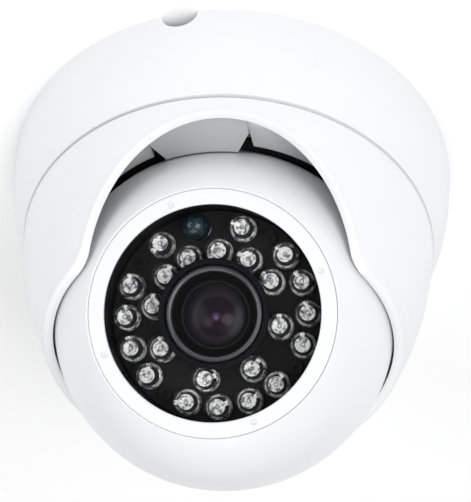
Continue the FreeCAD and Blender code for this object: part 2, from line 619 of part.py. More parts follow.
def round_cover_edges(shell):
    """Round the outer edge of the opening and of the notch."""
    edges = []
    for edge in shell.Edges:
        low, high = edge.ParameterRange
        spots = [edge.valueAt(low + (high - low) * k / 4) for k in range(5)]
        on_skin = all(abs(math.hypot(p.x, p.y) - cover_arc_radius(p.z)) < 0.01 for p in spots)
        clear_of_seam = max(p.z for p in spots) > COVER_BOTTOM + 1
        seam_line = abs(edge.BoundBox.YLength) < 0.01 and edge.BoundBox.ZLength > 20
        if on_skin and clear_of_seam and not seam_line:
            edges.append(edge)
    return shell.makeFillet(COVER_EDGE_ROUND, edges)


def cover_lock_screw():
    """Headless screw at the back that locks the cover to the pan ring's post."""
    outer = cover_arc_radius(LOCK_SCREW_HEIGHT) - LOCK_SCREW_SETBACK
    inner = cover_inner_radius(FLANGE_TOP + POST_HEIGHT) - POST_GAP
    body = Part.makeCylinder(LOCK_SCREW_RADIUS, outer - inner, V(0, inner, LOCK_SCREW_HEIGHT),
                             V(0, 1, 0))
    socket = Part.makeCylinder(DRIVE_RECESS_RADIUS, LOCK_SCREW_SOCKET_DEPTH,
                               V(0, outer - LOCK_SCREW_SOCKET_DEPTH, LOCK_SCREW_HEIGHT), V(0, 1, 0))
    return solid(body.cut(socket))


# ---- eyeball ----
def ball_arc_point(radius, angle):
    """A point of a sphere's section at an angle from the lens axis, as (radius, height)."""
    turn = math.radians(angle)
    return radius * math.sin(turn), radius * math.cos(turn)


def shell_screw_places():
    """The places of the screws that join the eyeball's halves."""
    step = 360.0 / SHELL_SCREW_COUNT
    return [face_point(SHELL_SCREW_CIRCLE_RADIUS, k * step) for k in range(SHELL_SCREW_COUNT)]


def ball_front_shell():
    """Front half of the eyeball, with the bore that the camera module turns in."""
    bore = BEZEL_RADIUS + ROLL_CLEARANCE
    start = math.degrees(math.atan2(BORE_MOUTH_RADIUS, BALL_FRONT))
    inner_edge = math.sqrt(BALL_INNER_RADIUS ** 2 - SEAT_BOTTOM ** 2)
    inner_start = math.degrees(math.atan2(inner_edge, SEAT_BOTTOM))
    shell = lathe(
        (BALL_INNER_RADIUS, 0), (BALL_RADIUS, 0),
        ("arc", ball_arc_point(BALL_RADIUS, (90 + start) / 2), (BORE_MOUTH_RADIUS, BALL_FRONT)),
        (bore, BALL_FRONT), (bore, SEAT_TOP), (SEAT_FLANGE_RADIUS, SEAT_TOP),
        (SEAT_FLANGE_RADIUS, SEAT_BOTTOM), (inner_edge, SEAT_BOTTOM),
        ("arc", ball_arc_point(BALL_INNER_RADIUS, (90 + inner_start) / 2), (BALL_INNER_RADIUS, 0)))
    for x, y in shell_screw_places():
        boss = rod(SHELL_BOSS_RADIUS, 0, SHELL_BOSS_FRONT, x, y)
        drill = rod(M3_RADIUS, -CUT_MARGIN, SHELL_SCREW_REACH, x, y)
        shell = shell.fuse(boss).cut(drill)
    return solid(shell.removeSplitter())


def ball_rear_shell():
    """Rear half of the eyeball, with the cable outlet at its pole."""
    outlet = GROMMET_RADIUS
    pole = math.sqrt(BALL_RADIUS ** 2 - outlet ** 2)
    inner_pole = math.sqrt(BALL_INNER_RADIUS ** 2 - outlet ** 2)
    seat_circle = BALL_RADIUS - BALL_WALL / 2
    shell = lathe(
        (BALL_RADIUS, 0), (BALL_INNER_RADIUS, 0),
        ("arc", ball_arc_point(BALL_INNER_RADIUS, 130), (outlet, -inner_pole)),
        (outlet, -pole), ("arc", ball_arc_point(BALL_RADIUS, 130), (BALL_RADIUS, 0)))
    ball = Part.makeSphere(BALL_RADIUS)
    for x, y in shell_screw_places():
        boss = rod(SHELL_BOSS_RADIUS, -BALL_RADIUS, 0, x, y).common(ball)
        shell = shell.fuse(boss)
        shell = shell.cut(rod(M3_RADIUS, -BALL_RADIUS, CUT_MARGIN, x, y))
        sink = rod(M3_HEAD_RADIUS + HEAD_CLEARANCE, -BALL_RADIUS, -SHELL_SCREW_HEAD_DEPTH, x, y)
        shell = shell.cut(sink)
    groove = tube(seat_circle + GASKET_WIDTH / 2, seat_circle - GASKET_WIDTH / 2,
                  -GASKET_THICKNESS, CUT_MARGIN)
    return solid(shell.cut(groove).removeSplitter())


def shell_gasket():
    """Gasket between the eyeball's halves."""
    seat_circle = BALL_RADIUS - BALL_WALL / 2
    return tube(seat_circle + GASKET_WIDTH / 2, seat_circle - GASKET_WIDTH / 2,
                -GASKET_THICKNESS, 0)


def shell_screws():
    """Screws from the back that join the eyeball's halves."""
    return group([screw(M3_RADIUS, M3_HEAD_RADIUS, M3_HEAD_HEIGHT, -SHELL_SCREW_HEAD_DEPTH,
                        SHELL_SCREW_REACH, x, y) for x, y in shell_screw_places()])


def cable_grommet():
    """Rubber grommet in the rear shell that the camera's cable comes out through."""
    back = -math.sqrt(BALL_RADIUS ** 2 - GROMMET_RADIUS ** 2)
    flange_back = -math.sqrt(BALL_INNER_RADIUS ** 2 - GROMMET_FLANGE_RADIUS ** 2)
    front = flange_back + GROMMET_FLANGE_THICKNESS
    return lathe(
        (GROMMET_BORE_RADIUS, back), (GROMMET_RADIUS, back), (GROMMET_RADIUS, flange_back),
        (GROMMET_FLANGE_RADIUS, flange_back), (GROMMET_FLANGE_RADIUS, front),
        (GROMMET_BORE_RADIUS, front))


# ---- face of the eyeball ----
def bezel_ring():
    """Front ring that holds the window, with holes for a pin spanner."""
    ring = lathe(
        (DRUM_RIM_RADIUS, BEZEL_BACK), (BEZEL_RADIUS, BEZEL_BACK), (BEZEL_RADIUS, BEZEL_FACE),
        (WINDOW_VIEW_RADIUS, BEZEL_FACE), (WINDOW_VIEW_RADIUS, WINDOW_FRONT),
        (DRUM_RIM_RADIUS, WINDOW_FRONT))
    front = [e for e in ring.Edges
             if e.BoundBox.ZLength < 0.01 and abs(e.BoundBox.ZMin - BEZEL_FACE) < 0.01]
    ring = ring.makeFillet(BEZEL_EDGE_ROUND, front)
    for hole in range(SPANNER_HOLE_COUNT):
        angle = SPANNER_HOLE_FIRST_ANGLE + 360.0 * hole / SPANNER_HOLE_COUNT
        x, y = face_point(SPANNER_HOLE_CIRCLE_RADIUS, angle)
        ring = ring.cut(rod(SPANNER_HOLE_RADIUS, BEZEL_FACE - SPANNER_HOLE_DEPTH,
                            BEZEL_FACE + CUT_MARGIN, x, y))
    return solid(ring)


def window():
    """Clear front window."""
    return rod(WINDOW_RADIUS, WINDOW_BACK, WINDOW_FRONT)


def window_seal():
    """Seal between the window and the module's rim."""
    return tube(WINDOW_RADIUS, SEAL_INNER_RADIUS, DRUM_FRONT, WINDOW_BACK)


# ---- camera module ----
def led_board_screw_places():
    """The places of the screws that hold the LED board."""
    return [face_point(LED_BOARD_SCREW_RADIUS, a) for a in LED_BOARD_SCREW_ANGLES]


def module_drum():
    """Drum that carries the boards and the window and turns in the eyeball."""
    inner = DRUM_RADIUS - DRUM_WALL
    lens_hole = HOLDER_TUBE_RADIUS + HEAD_CLEARANCE
    drum = lathe(
        (lens_hole, DRUM_BACK), (DRUM_RADIUS, DRUM_BACK), (DRUM_RADIUS, BEZEL_BACK),
        (DRUM_RIM_RADIUS, BEZEL_BACK), (DRUM_RIM_RADIUS, DRUM_FRONT), (inner, DRUM_FRONT),
        (inner, DRUM_INSIDE), (lens_hole, DRUM_INSIDE))
    for x, y in led_board_screw_places():
        drum = drum.fuse(rod(SPACER_RADIUS, DRUM_INSIDE, LED_BOARD_BACK, x, y))
        drum = drum.cut(rod(M2_RADIUS, DRUM_BACK + BLIND_HOLE_FLOOR, LED_BOARD_BACK, x, y))
    for x, y in square_corners(BOARD_HOLE_SPACING):
        drum = drum.cut(rod(M2_RADIUS, DRUM_BACK, DRUM_INSIDE - BLIND_HOLE_FLOOR, x, y))
    return solid(drum.removeSplitter())


def module_retainer():
    """Ring screwed on the drum behind the eyeball's flange."""
    top = SEAT_BOTTOM - ROLL_CLEARANCE
    return tube(RETAINER_RADIUS, DRUM_RADIUS, top - RETAINER_THICKNESS, top)


def led_board():
    """Round board that carries the infrared LEDs and the photocell."""
    board = tube(LED_BOARD_RADIUS, LED_BOARD_HOLE_RADIUS, LED_BOARD_BACK, LED_BOARD_FRONT)
    for x, y in led_board_screw_places():
        board = board.cut(rod(M2_RADIUS, LED_BOARD_BACK, LED_BOARD_FRONT, x, y))
    return solid(board)


def led_board_screws():
    """Small screws that hold the LED board on the drum."""
    return group([screw(M2_RADIUS, M2_HEAD_RADIUS, M2_HEAD_HEIGHT, LED_BOARD_FRONT,
                        DRUM_BACK + BLIND_HOLE_FLOOR, x, y) for x, y in led_board_screw_places()])


def dome_lamp(radius, x, y):
    """A round-nosed LED body standing on its flange."""
    flange = rod(radius + LED_FLANGE_RADIUS - LED_RADIUS, LED_BOARD_FRONT,
                 LED_BOARD_FRONT + LED_FLANGE_HEIGHT, x, y)
    nose = LED_BOARD_FRONT + LED_BODY_HEIGHT
    body = rod(radius, LED_BOARD_FRONT, nose, x, y)
    ball = Part.makeSphere(radius, V(x, y, nose))
    return solid(flange.fuse(body).fuse(ball).removeSplitter())


def outer_led_angles():
    """Angles of the outer ring of LEDs: groups between the board's screws, and two by the top."""
    grouped = [start + k * OUTER_LED_PITCH for start, count in OUTER_LED_GROUPS
               for k in range(count)]
    return grouped + list(OUTER_LED_SINGLES)


def ir_leds_outer():
    """Outer ring of infrared LEDs."""
    return group([dome_lamp(LED_RADIUS, *face_point(OUTER_LED_RING_RADIUS, a))
                  for a in outer_led_angles()])


def ir_leds_inner():
    """Inner ring of infrared LEDs."""
    return group([dome_lamp(LED_RADIUS, *face_point(INNER_LED_RING_RADIUS, a))
                  for a in INNER_LED_ANGLES])


def photocell():
    """Light sensor that switches the LEDs."""
    return dome_lamp(PHOTOCELL_RADIUS, *face_point(PHOTOCELL_RING_RADIUS, PHOTOCELL_ANGLE))


def light_hood():
    """Black tube round the lens that keeps the LEDs' light out of it. It widens round the lens's lip."""
    top = WINDOW_BACK - HOOD_TOP_GAP
    rim = HOOD_RADIUS + HOOD_FLARE
    mouth = LENS_LIP_RADIUS + HOOD_LIP_CLEARANCE
    step = LENS_FRONT - LENS_LIP_HEIGHT - HOOD_LIP_CLEARANCE
    return lathe(
        (HOOD_BORE_RADIUS, LED_BOARD_FRONT), (HOOD_RADIUS, LED_BOARD_FRONT),
        (HOOD_RADIUS, step - HOOD_WALL), (mouth + HOOD_WALL, step + HOOD_RIM_HEIGHT),
        (rim, top - HOOD_RIM_HEIGHT), (rim, top), (mouth, top), (mouth, step),
        (HOOD_BORE_RADIUS, step))


# ---- lens ----
def lens_barrel():
    """Threaded barrel with a wide head that opens in a cone in front of the glass."""
    glass_back = LENS_CONE_BOTTOM - KEEPER_THICKNESS - FRONT_GLASS_THICKNESS
    return lathe(
        (LENS_BORE_RADIUS, LENS_BACK), (LENS_THREAD_RADIUS, LENS_BACK),
        (LENS_THREAD_RADIUS, LENS_HEAD_BACK), (LENS_HEAD_RADIUS, LENS_HEAD_BACK),
        (LENS_HEAD_RADIUS, LENS_FRONT - LENS_LIP_HEIGHT),
        (LENS_LIP_RADIUS, LENS_FRONT - LENS_LIP_HEIGHT), (LENS_LIP_RADIUS, LENS_FRONT),
        (LENS_LIP_RADIUS - LENS_FACE_WIDTH, LENS_FRONT),
        (LENS_RIM_RADIUS, LENS_FRONT - LENS_RIM_DROP), (LENS_CONE_RADIUS, LENS_CONE_BOTTOM),
        (FRONT_GLASS_RADIUS, LENS_CONE_BOTTOM), (FRONT_GLASS_RADIUS, glass_back),
        (LENS_BORE_RADIUS, glass_back))


def lens_front_glass():
    """Front lens, domed towards the scene."""
    top = LENS_CONE_BOTTOM - KEEPER_THICKNESS
    rim = top - FRONT_GLASS_CROWN
    curve = (KEEPER_BORE_RADIUS ** 2 + FRONT_GLASS_CROWN ** 2) / (2 * FRONT_GLASS_CROWN)
    half = KEEPER_BORE_RADIUS / 2
    middle = rim + math.sqrt(curve ** 2 - half ** 2) - (curve - FRONT_GLASS_CROWN)
    back = top - FRONT_GLASS_THICKNESS
    return lathe(
        (0, back), (FRONT_GLASS_RADIUS, back), (FRONT_GLASS_RADIUS, rim),
        (KEEPER_BORE_RADIUS, rim), ("arc", (half, middle), (0, top)))


def lens_keeper_ring():
    """Ring that holds the front lens in the barrel."""
    rim = LENS_CONE_BOTTOM - KEEPER_THICKNESS - FRONT_GLASS_CROWN
    return tube(FRONT_GLASS_RADIUS, KEEPER_BORE_RADIUS + KEEPER_PLAY, rim, LENS_CONE_BOTTOM)


def lens_rear_glass():
    """Rear lens in the threaded end of the barrel."""
    back = LENS_BACK + REAR_GLASS_SETBACK
    return rod(LENS_BORE_RADIUS, back, back + REAR_GLASS_THICKNESS)


def lens_lock_nut():
    """Nut that locks the barrel in its holder."""
    return tube(LOCK_NUT_RADIUS, LENS_THREAD_RADIUS, HOLDER_HEIGHT,
                HOLDER_HEIGHT + LOCK_NUT_THICKNESS)


def lens_holder():
    """Threaded holder on the sensor board, with a seat for the filter."""
    foot = block(HOLDER_FOOT, HOLDER_FOOT, 0, HOLDER_FOOT_HEIGHT)
    body = foot.fuse(rod(HOLDER_TUBE_RADIUS, 0, HOLDER_HEIGHT))
    filter_top = HOLDER_CAVITY_HEIGHT + FILTER_THICKNESS
    for tool in (block(HOLDER_CAVITY, HOLDER_CAVITY, 0, HOLDER_CAVITY_HEIGHT),
                 block(FILTER_SIZE, FILTER_SIZE, 0, filter_top),
                 rod(HOLDER_APERTURE_RADIUS, 0, HOLDER_HEIGHT),
                 rod(LENS_THREAD_RADIUS, filter_top + HOLDER_APERTURE_DEPTH, HOLDER_HEIGHT)):
        body = body.cut(tool)
    return solid(body.removeSplitter())


def infrared_filter():
    """Glass filter in front of the sensor."""
    return block(FILTER_SIZE, FILTER_SIZE, HOLDER_CAVITY_HEIGHT,
                 HOLDER_CAVITY_HEIGHT + FILTER_THICKNESS)


# ---- boards behind the lens ----
def square_board(top):
    """A square circuit board with four holes."""
    board = block(BOARD_SIZE, BOARD_SIZE, top - BOARD_THICKNESS, top)
    for x, y in square_corners(BOARD_HOLE_SPACING):
        board = board.cut(rod(M2_RADIUS, top - BOARD_THICKNESS, top, x, y))
    return solid(board)


def sensor_board():
    """Board that carries the image sensor and the lens holder."""
    return square_board(0.0)


def power_board():
    """Board behind the sensor board, with the power supply and the cable socket."""
    return square_board(-BOARD_THICKNESS - BOARD_GAP)


def image_sensor():
    """Image sensor package."""
    return block(SENSOR_LENGTH, SENSOR_WIDTH, 0, SENSOR_THICKNESS)


def spacers(bottom, top):
    """Four tubes that hold the boards apart."""
    one = tube(SPACER_RADIUS, M2_RADIUS, bottom, top)
    placed = []
    for x, y in square_corners(BOARD_HOLE_SPACING):
        spacer = one.copy()
        spacer.translate(V(x, y, 0))
        placed.append(spacer)
    return group(placed)


def board_spacers_front():
    """Spacers between the drum and the sensor board."""
    return spacers(0.0, DRUM_BACK)


def board_spacers_rear():
    """Spacers between the two boards."""
    return spacers(-BOARD_THICKNESS - BOARD_GAP, -BOARD_THICKNESS)


def stack_screws():
    """Long screws through both boards into the drum."""
    seat = -2 * BOARD_THICKNESS - BOARD_GAP
    end = DRUM_INSIDE - BLIND_HOLE_FLOOR
    return group([screw(M2_RADIUS, SPACER_RADIUS - HEAD_CLEARANCE, M2_HEAD_HEIGHT, seat, end, x, y)
                  for x, y in square_corners(BOARD_HOLE_SPACING)])


def shield_can():
    """Metal can over the power supply."""
    top = -2 * BOARD_THICKNESS - BOARD_GAP
    return block(SHIELD_SIZE, SHIELD_SIZE, top - SHIELD_HEIGHT, top, y=-SHIELD_SETBACK)


def cable_socket():
    """Socket that the camera's cable plugs into."""
    top = -2 * BOARD_THICKNESS - BOARD_GAP
    socket = block(SOCKET_LENGTH, SOCKET_WIDTH, top - SOCKET_HEIGHT, top, y=SOCKET_PLACE)
    mouth = block(SOCKET_LENGTH - 2 * SOCKET_WALL, SOCKET_WIDTH - 2 * SOCKET_WALL,
                  top - SOCKET_HEIGHT, top - SOCKET_FLOOR, y=SOCKET_PLACE)
    return solid(socket.cut(mouth))


BASE_PARTS = (base_housing, slip_washer)
HEAD_PARTS = (pan_ring, clamp_dogs, clamp_screws, friction_ring, stop_plate, stop_plate_rivets,
              dome_cover, cover_lock_screw)
BALL_PARTS = (ball_front_shell, ball_rear_shell, shell_gasket, shell_screws, cable_grommet,
              bezel_ring, window, window_seal, module_drum, module_retainer, led_board,
              led_board_screws, ir_leds_outer, ir_leds_inner, photocell, light_hood, lens_barrel,
              lens_front_glass, lens_keeper_ring, lens_rear_glass, lens_lock_nut, lens_holder,
              infrared_filter, sensor_board, power_board, image_sensor, board_spacers_front,
              board_spacers_rear, stack_screws, shield_can, cable_socket)


def place_in_ball(shape):
    """Move a shape from the lens axis's frame to its place at rest."""
    placed = shape.copy()
    placed.rotate(V(0, 0, 0), V(1, 0, 0), REST_TILT)
    placed.rotate(V(0, 0, 0), V(0, 0, 1), REST_YAW)
    placed.translate(BALL_CENTRE)
    return placed


os.makedirs("parts", exist_ok=True)
for make in BASE_PARTS + HEAD_PARTS + BALL_PARTS:
    part = make()
    if make in BALL_PARTS:
        part = place_in_ball(part)
    if not part.isValid() or not all(s.isClosed() for s in part.Shells):
        raise ValueError(make.__name__ + " is not a sound solid")
    part.exportStep("parts/" + make.__name__ + ".step")
    print(make.__name__, len(part.Solids), round(part.Volume, 1))
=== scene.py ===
"""Turret dome camera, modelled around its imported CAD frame.

Each piece or group of like pieces is one operator, and one more sets the stage. Lengths are metres.
Pieces of the camera module are modelled upright on the lens axis, +Z towards the scene, and are then
laid along the axis that the frame's joints give.
"""

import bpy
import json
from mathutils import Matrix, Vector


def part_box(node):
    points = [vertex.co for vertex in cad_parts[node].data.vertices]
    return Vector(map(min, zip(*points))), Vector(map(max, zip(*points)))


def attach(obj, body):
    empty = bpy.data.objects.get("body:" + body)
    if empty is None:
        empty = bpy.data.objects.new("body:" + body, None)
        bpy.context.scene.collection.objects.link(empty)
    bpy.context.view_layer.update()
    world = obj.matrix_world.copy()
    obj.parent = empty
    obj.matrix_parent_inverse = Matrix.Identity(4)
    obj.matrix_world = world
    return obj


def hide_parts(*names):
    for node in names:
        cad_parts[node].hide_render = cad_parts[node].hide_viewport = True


bl_info = {
    "name": "Turret dome camera",
    "version": (1, 0, 0),
    "blender": (4, 5, 0),
    "location": "3D View > Sidebar > Dome camera",
    "description": "Builds the visible pieces of a turret dome camera around its CAD frame",
    "category": "Object",
}

import json
import math

import bpy
from bpy.props import FloatProperty, FloatVectorProperty, IntProperty, PointerProperty
from mathutils import Matrix, Vector

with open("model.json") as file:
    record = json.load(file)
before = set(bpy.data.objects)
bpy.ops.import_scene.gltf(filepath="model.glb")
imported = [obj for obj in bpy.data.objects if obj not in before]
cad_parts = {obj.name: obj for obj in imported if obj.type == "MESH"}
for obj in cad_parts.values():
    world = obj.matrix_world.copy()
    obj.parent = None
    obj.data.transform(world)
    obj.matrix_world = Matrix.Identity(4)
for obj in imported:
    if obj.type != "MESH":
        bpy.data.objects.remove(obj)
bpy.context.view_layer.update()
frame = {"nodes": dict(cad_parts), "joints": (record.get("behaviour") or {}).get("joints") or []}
MM = 0.001
FULL_TURN = 2 * math.pi


# ---- what the frame says ----
def joint(name):
    """The frame's joint of that name."""
    return next(j for j in frame["joints"] if j["name"] == name)


LENS_AXIS = Vector(joint("roll")["axis"]).normalized()
SIDE_AXIS = Vector(joint("tilt")["axis"]).normalized()
BALL_CENTRE = Vector(joint("roll")["pos_m"])
UP_AXIS = LENS_AXIS.cross(SIDE_AXIS)
LENS_TURN = Matrix((SIDE_AXIS, UP_AXIS, LENS_AXIS)).transposed().to_4x4()
LENS_FRAME = Matrix.Translation(BALL_CENTRE) @ LENS_TURN


def corners(node):
    """A node's vertices at rest."""
    return [v.co for v in frame["nodes"][node].data.vertices]


def lens_span(node):
    """Where a node starts and ends along the lens axis, from the eyeball's centre."""
    places = [(c - BALL_CENTRE).dot(LENS_AXIS) for c in corners(node)]
    return min(places), max(places)


def off_axis(point):
    """A point's distance from the lens axis."""
    place = point - BALL_CENTRE
    return (place - LENS_AXIS * place.dot(LENS_AXIS)).length


def lens_reach(node):
    """How far a node reaches from the lens axis."""
    return max(off_axis(c) for c in corners(node))


def lens_bore(node):
    """The radius of the hole that a node leaves round the lens axis."""
    return min(off_axis(c) for c in corners(node))


def upright_reach(node):
    """How far a node reaches from the base's axis."""
    return max(c.xy.length for c in corners(node))


def ball_radius():
    """The eyeball's radius."""
    return max((c - BALL_CENTRE).length for c in corners("ball_rear_shell"))


# ---- sizes and colours that a user would change ----
class HousingSettings(bpy.types.PropertyGroup):
    """The white housing's finish and edges."""

    white: FloatVectorProperty(name="White", description="Colour of the base, cover and eyeball",
                               subtype="COLOR", size=3, default=(0.80, 0.81, 0.825), min=0, max=1)
    bezel_white: FloatVectorProperty(name="Bezel white", description="Colour of the bezel",
                                     subtype="COLOR", size=3, default=(0.775, 0.785, 0.80), min=0, max=1)
    roughness: FloatProperty(name="Roughness", description="Roughness of the white housing",
                             default=0.34, min=0, max=1)
    edge: FloatProperty(name="Edge", description="Rounding of the moulded edges",
                        subtype="DISTANCE", unit="LENGTH", default=0.5 * MM, min=0.1 * MM)
    steps: IntProperty(name="Steps", description="Facets round a turned piece", default=192, min=48)


class FaceSettings(bpy.types.PropertyGroup):
    """The camera's face: LEDs, photocell and lens."""

    cup_radius: FloatProperty(name="Cup radius", description="Radius of the reflector seen in an LED",
                              subtype="DISTANCE", unit="LENGTH", default=1.5 * MM)
    epoxy: FloatVectorProperty(name="Epoxy", description="Colour of the LEDs' clear bodies",
                               subtype="COLOR", size=3, default=(0.5, 0.51, 0.52), min=0, max=1)
    # the bright side of the painted reflections on the LEDs' cups and rims
    silver: FloatVectorProperty(name="Silver", description="Colour of the LEDs' reflectors",
                                subtype="COLOR", size=3, default=(1.0, 1.0, 1.0), min=0, max=1)
    photocell: FloatVectorProperty(name="Photocell", description="Colour of the light sensor",
                                   subtype="COLOR", size=3, default=(0.035, 0.10, 0.14), min=0, max=1)
    # painted reflection: this tint is painted at the front lens's centre as its coating's reflection
    coating: FloatVectorProperty(name="Coating", description="Tint of the front lens",
                                 subtype="COLOR", size=3, default=(0.062, 0.035, 0.075), min=0, max=1)


class StageSettings(bpy.types.PropertyGroup):
    """Camera, lights and floor."""

    distance: FloatProperty(name="Distance", description="Camera's distance from what it aims at",
                            subtype="DISTANCE", unit="LENGTH", default=0.400)
    azimuth: FloatProperty(name="Azimuth", description="Camera's place round the object",
                           subtype="ANGLE", default=math.radians(-3.85))
    elevation: FloatProperty(name="Elevation", description="Camera's height above the floor",
                             subtype="ANGLE", default=math.radians(46.28))
    roll: FloatProperty(name="Roll", description="Turn of the camera about its line of sight",
                        subtype="ANGLE", default=math.radians(183.055))
    lens: FloatProperty(name="Lens", description="Focal length in millimetres", default=145.14)
    floor: FloatVectorProperty(name="Floor", description="Colour of the floor", subtype="COLOR",
                               size=3, default=(0.95, 0.95, 0.953), min=0, max=1)
    key_power: FloatProperty(name="Key power", description="Power of the main light in watts",
                             default=4.4, min=0)
    fill_power: FloatProperty(name="Fill power", description="Power of the fill light in watts",
                              default=2.6, min=0)
    top_power: FloatProperty(name="Top power", description="Power of the overhead light in watts",
                             default=2.6, min=0)
    sky: FloatProperty(name="Sky", description="Strength of the light from all round",
                       default=0.38, min=0)


def settings(kind):
    """One of the groups of settings: housing, face or stage."""
    return getattr(bpy.context.scene, "dome_camera_" + kind)


# ---- modelling helpers ----
def clear_selection():
    """Go to object mode with nothing selected."""
    if bpy.context.mode != "OBJECT":
        bpy.ops.object.mode_set(mode="OBJECT")
    bpy.ops.object.select_all(action="DESELECT")


def pick(obj):
    """Make one object the only one selected, and active."""
    clear_selection()
    obj.select_set(True)
    bpy.context.view_layer.objects.active = obj


def named(obj, name):
    """Name an object and its mesh."""
    obj.name = name
    obj.data.name = name
    return obj


def arc(centre, radius, start, end, count):
    """Points of an arc in the (radius, height) plane; angles in degrees from the radius axis."""
    turns = [math.radians(start + (end - start) * k / count) for k in range(count + 1)]
    return [(centre[0] + radius * math.cos(t), centre[1] + radius * math.sin(t)) for t in turns]


def spun(name, outline, steps=None):
    """Turn an outline of (radius, height) points about Z. It closes by itself unless both ends are on
    the axis."""
    clear_selection()
    first = outline[0]
    bpy.ops.mesh.primitive_plane_add(size=MM, location=(first[0], 0, first[1]))
    obj = named(bpy.context.object, name)
    bpy.ops.object.transform_apply(location=True)
    bpy.ops.object.mode_set(mode="EDIT")
    bpy.ops.mesh.select_all(action="SELECT")
    bpy.ops.mesh.merge(type="CENTER")
    on_axis = first[0] < 1e-9 and outline[-1][0] < 1e-9
    here = first
    for there in outline[1:] + ([] if on_axis else [first]):
        move = (there[0] - here[0], 0, there[1] - here[1])
        bpy.ops.mesh.extrude_region_move(TRANSFORM_OT_translate={"value": move})
        here = there
    bpy.ops.mesh.select_all(action="SELECT")
    bpy.ops.mesh.remove_doubles(threshold=1e-6)
    bpy.ops.mesh.spin(steps=steps or settings("housing").steps, angle=FULL_TURN,
                      center=(0, 0, 0), axis=(0, 0, 1))
    bpy.ops.mesh.select_all(action="SELECT")
    bpy.ops.mesh.remove_doubles(threshold=2e-6)
    bpy.ops.mesh.normals_make_consistent(inside=False)
    bpy.ops.object.mode_set(mode="OBJECT")
    return obj


def apply_modifier(obj, kind, **values):
    """Add a modifier, set it and apply it."""
    pick(obj)
    modifier = obj.modifiers.new(kind.lower(), kind)
    for key, value in values.items():
        setattr(modifier, key, value)
    bpy.ops.object.modifier_apply(modifier=modifier.name)
    return obj


def soften(obj, width, angle=35, segments=3):
    """Round the edges that are sharper than an angle."""
    return apply_modifier(obj, "BEVEL", width=width, segments=segments, limit_method="ANGLE",
                          angle_limit=math.radians(angle), miter_outer="MITER_ARC")


def smooth(obj, angle=35):
    """Shade smooth, with edges over the angle left sharp."""
    pick(obj)
    bpy.ops.object.shade_smooth_by_angle(angle=math.radians(angle))
    return obj


def cut(obj, *cutters):
    """Take cutters away from an object and remove them."""
    for cutter in cutters:
        apply_modifier(obj, "BOOLEAN", operation="DIFFERENCE", solver="EXACT", object=cutter)
        bpy.data.objects.remove(cutter)
    return obj


def joined(name, parts):
    """Join several objects into one."""
    clear_selection()
    for part in parts:
        part.select_set(True)
    bpy.context.view_layer.objects.active = parts[0]
    if len(parts) > 1:
        bpy.ops.object.join()
    return named(bpy.context.object, name)


def placed(obj, matrix):
    """Put an object at a place and bake the place into its mesh."""
    pick(obj)
    obj.matrix_world = matrix @ obj.matrix_world
    bpy.ops.object.transform_apply(location=True, rotation=True, scale=True)
    return obj


def copies(obj, matrices, name):
    """Copies of an object at several places, each with its own mesh, joined into one piece."""
    made = []
    for matrix in matrices:
        pick(obj)
        bpy.ops.object.duplicate(linked=False)
        made.append(placed(bpy.context.object, matrix))
    bpy.data.objects.remove(obj)
    return joined(name, made)


def box(name, size, centre):
    """A box from a cube."""
    clear_selection()
    bpy.ops.mesh.primitive_cube_add(size=1, location=centre)
    obj = named(bpy.context.object, name)
    obj.scale = size
    bpy.ops.object.transform_apply(location=True, rotation=True, scale=True)
    return obj


def rod(name, radius, start, end, steps=64):
    """A round bar from one point to another."""
    clear_selection()
    start, end = Vector(start), Vector(end)
    way = end - start
    bpy.ops.mesh.primitive_cylinder_add(vertices=steps, radius=radius, depth=way.length,
                                        location=(start + end) / 2)
    obj = named(bpy.context.object, name)
    obj.rotation_euler = way.to_track_quat("Z", "Y").to_euler()
    bpy.ops.object.transform_apply(location=True, rotation=True, scale=True)
    return obj


def face_place(radius, angle):
    """A point on the camera's face, by its radius and its angle in degrees from the face's -Y."""
    turn = math.radians(angle)
    return -radius * math.sin(turn), -radius * math.cos(turn)


def keep(obj, body, material, replaces=()):
    """Give a finished piece its material, body, slot and the nodes it stands for."""
    obj.data.materials.clear()
    obj.data.materials.append(material)
    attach(obj, body)
    if replaces:
        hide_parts(*replaces)
    return obj


def dress(material, *nodes):
    """Give CAD nodes a material."""
    for node in nodes:
        slots = frame["nodes"][node].data.materials
        slots.clear()
        slots.append(material)


# ---- materials ----
def add(tree, kind, **inputs):
    """Add a node and set its inputs by name."""
    node = tree.nodes.new(kind)
    for key, value in inputs.items():
        node.inputs[key.replace("_", " ")].default_value = value
    return node


def blank_material(name):
    """A material with a Principled shader, and its node tree."""
    made = bpy.data.materials.new(name)
    made.use_nodes = True
    tree = made.node_tree
    return made, tree, tree.nodes["Principled BSDF"]


def object_place(tree, on_face=False, centre=(0, 0)):
    """Object coordinates. on_face lays them along the lens axis, from a point beside it."""
    place = add(tree, "ShaderNodeTexCoord").outputs["Object"]
    if not on_face:
        return place
    mapping = add(tree, "ShaderNodeMapping")
    mapping.vector_type = "TEXTURE"
    mapping.inputs["Location"].default_value = LENS_FRAME @ Vector((*centre, 0))
    mapping.inputs["Rotation"].default_value = LENS_FRAME.to_euler()
    tree.links.new(place, mapping.inputs["Vector"])
    return mapping.outputs["Vector"]


def noise(tree, scale, detail=4.0, on_face=False):
    """Noise in object coordinates. on_face lays it along the lens axis."""
    made = add(tree, "ShaderNodeTexNoise", Scale=scale, Detail=detail)
    tree.links.new(object_place(tree, on_face), made.inputs["Vector"])
    return made.outputs["Fac"]


def spread(tree, value, low, high):
    """Map noise to a range."""
    ranged = add(tree, "ShaderNodeMapRange", From_Min=0.3, From_Max=0.7, To_Min=low, To_Max=high)
    tree.links.new(value, ranged.inputs["Value"])
    return ranged.outputs["Result"]


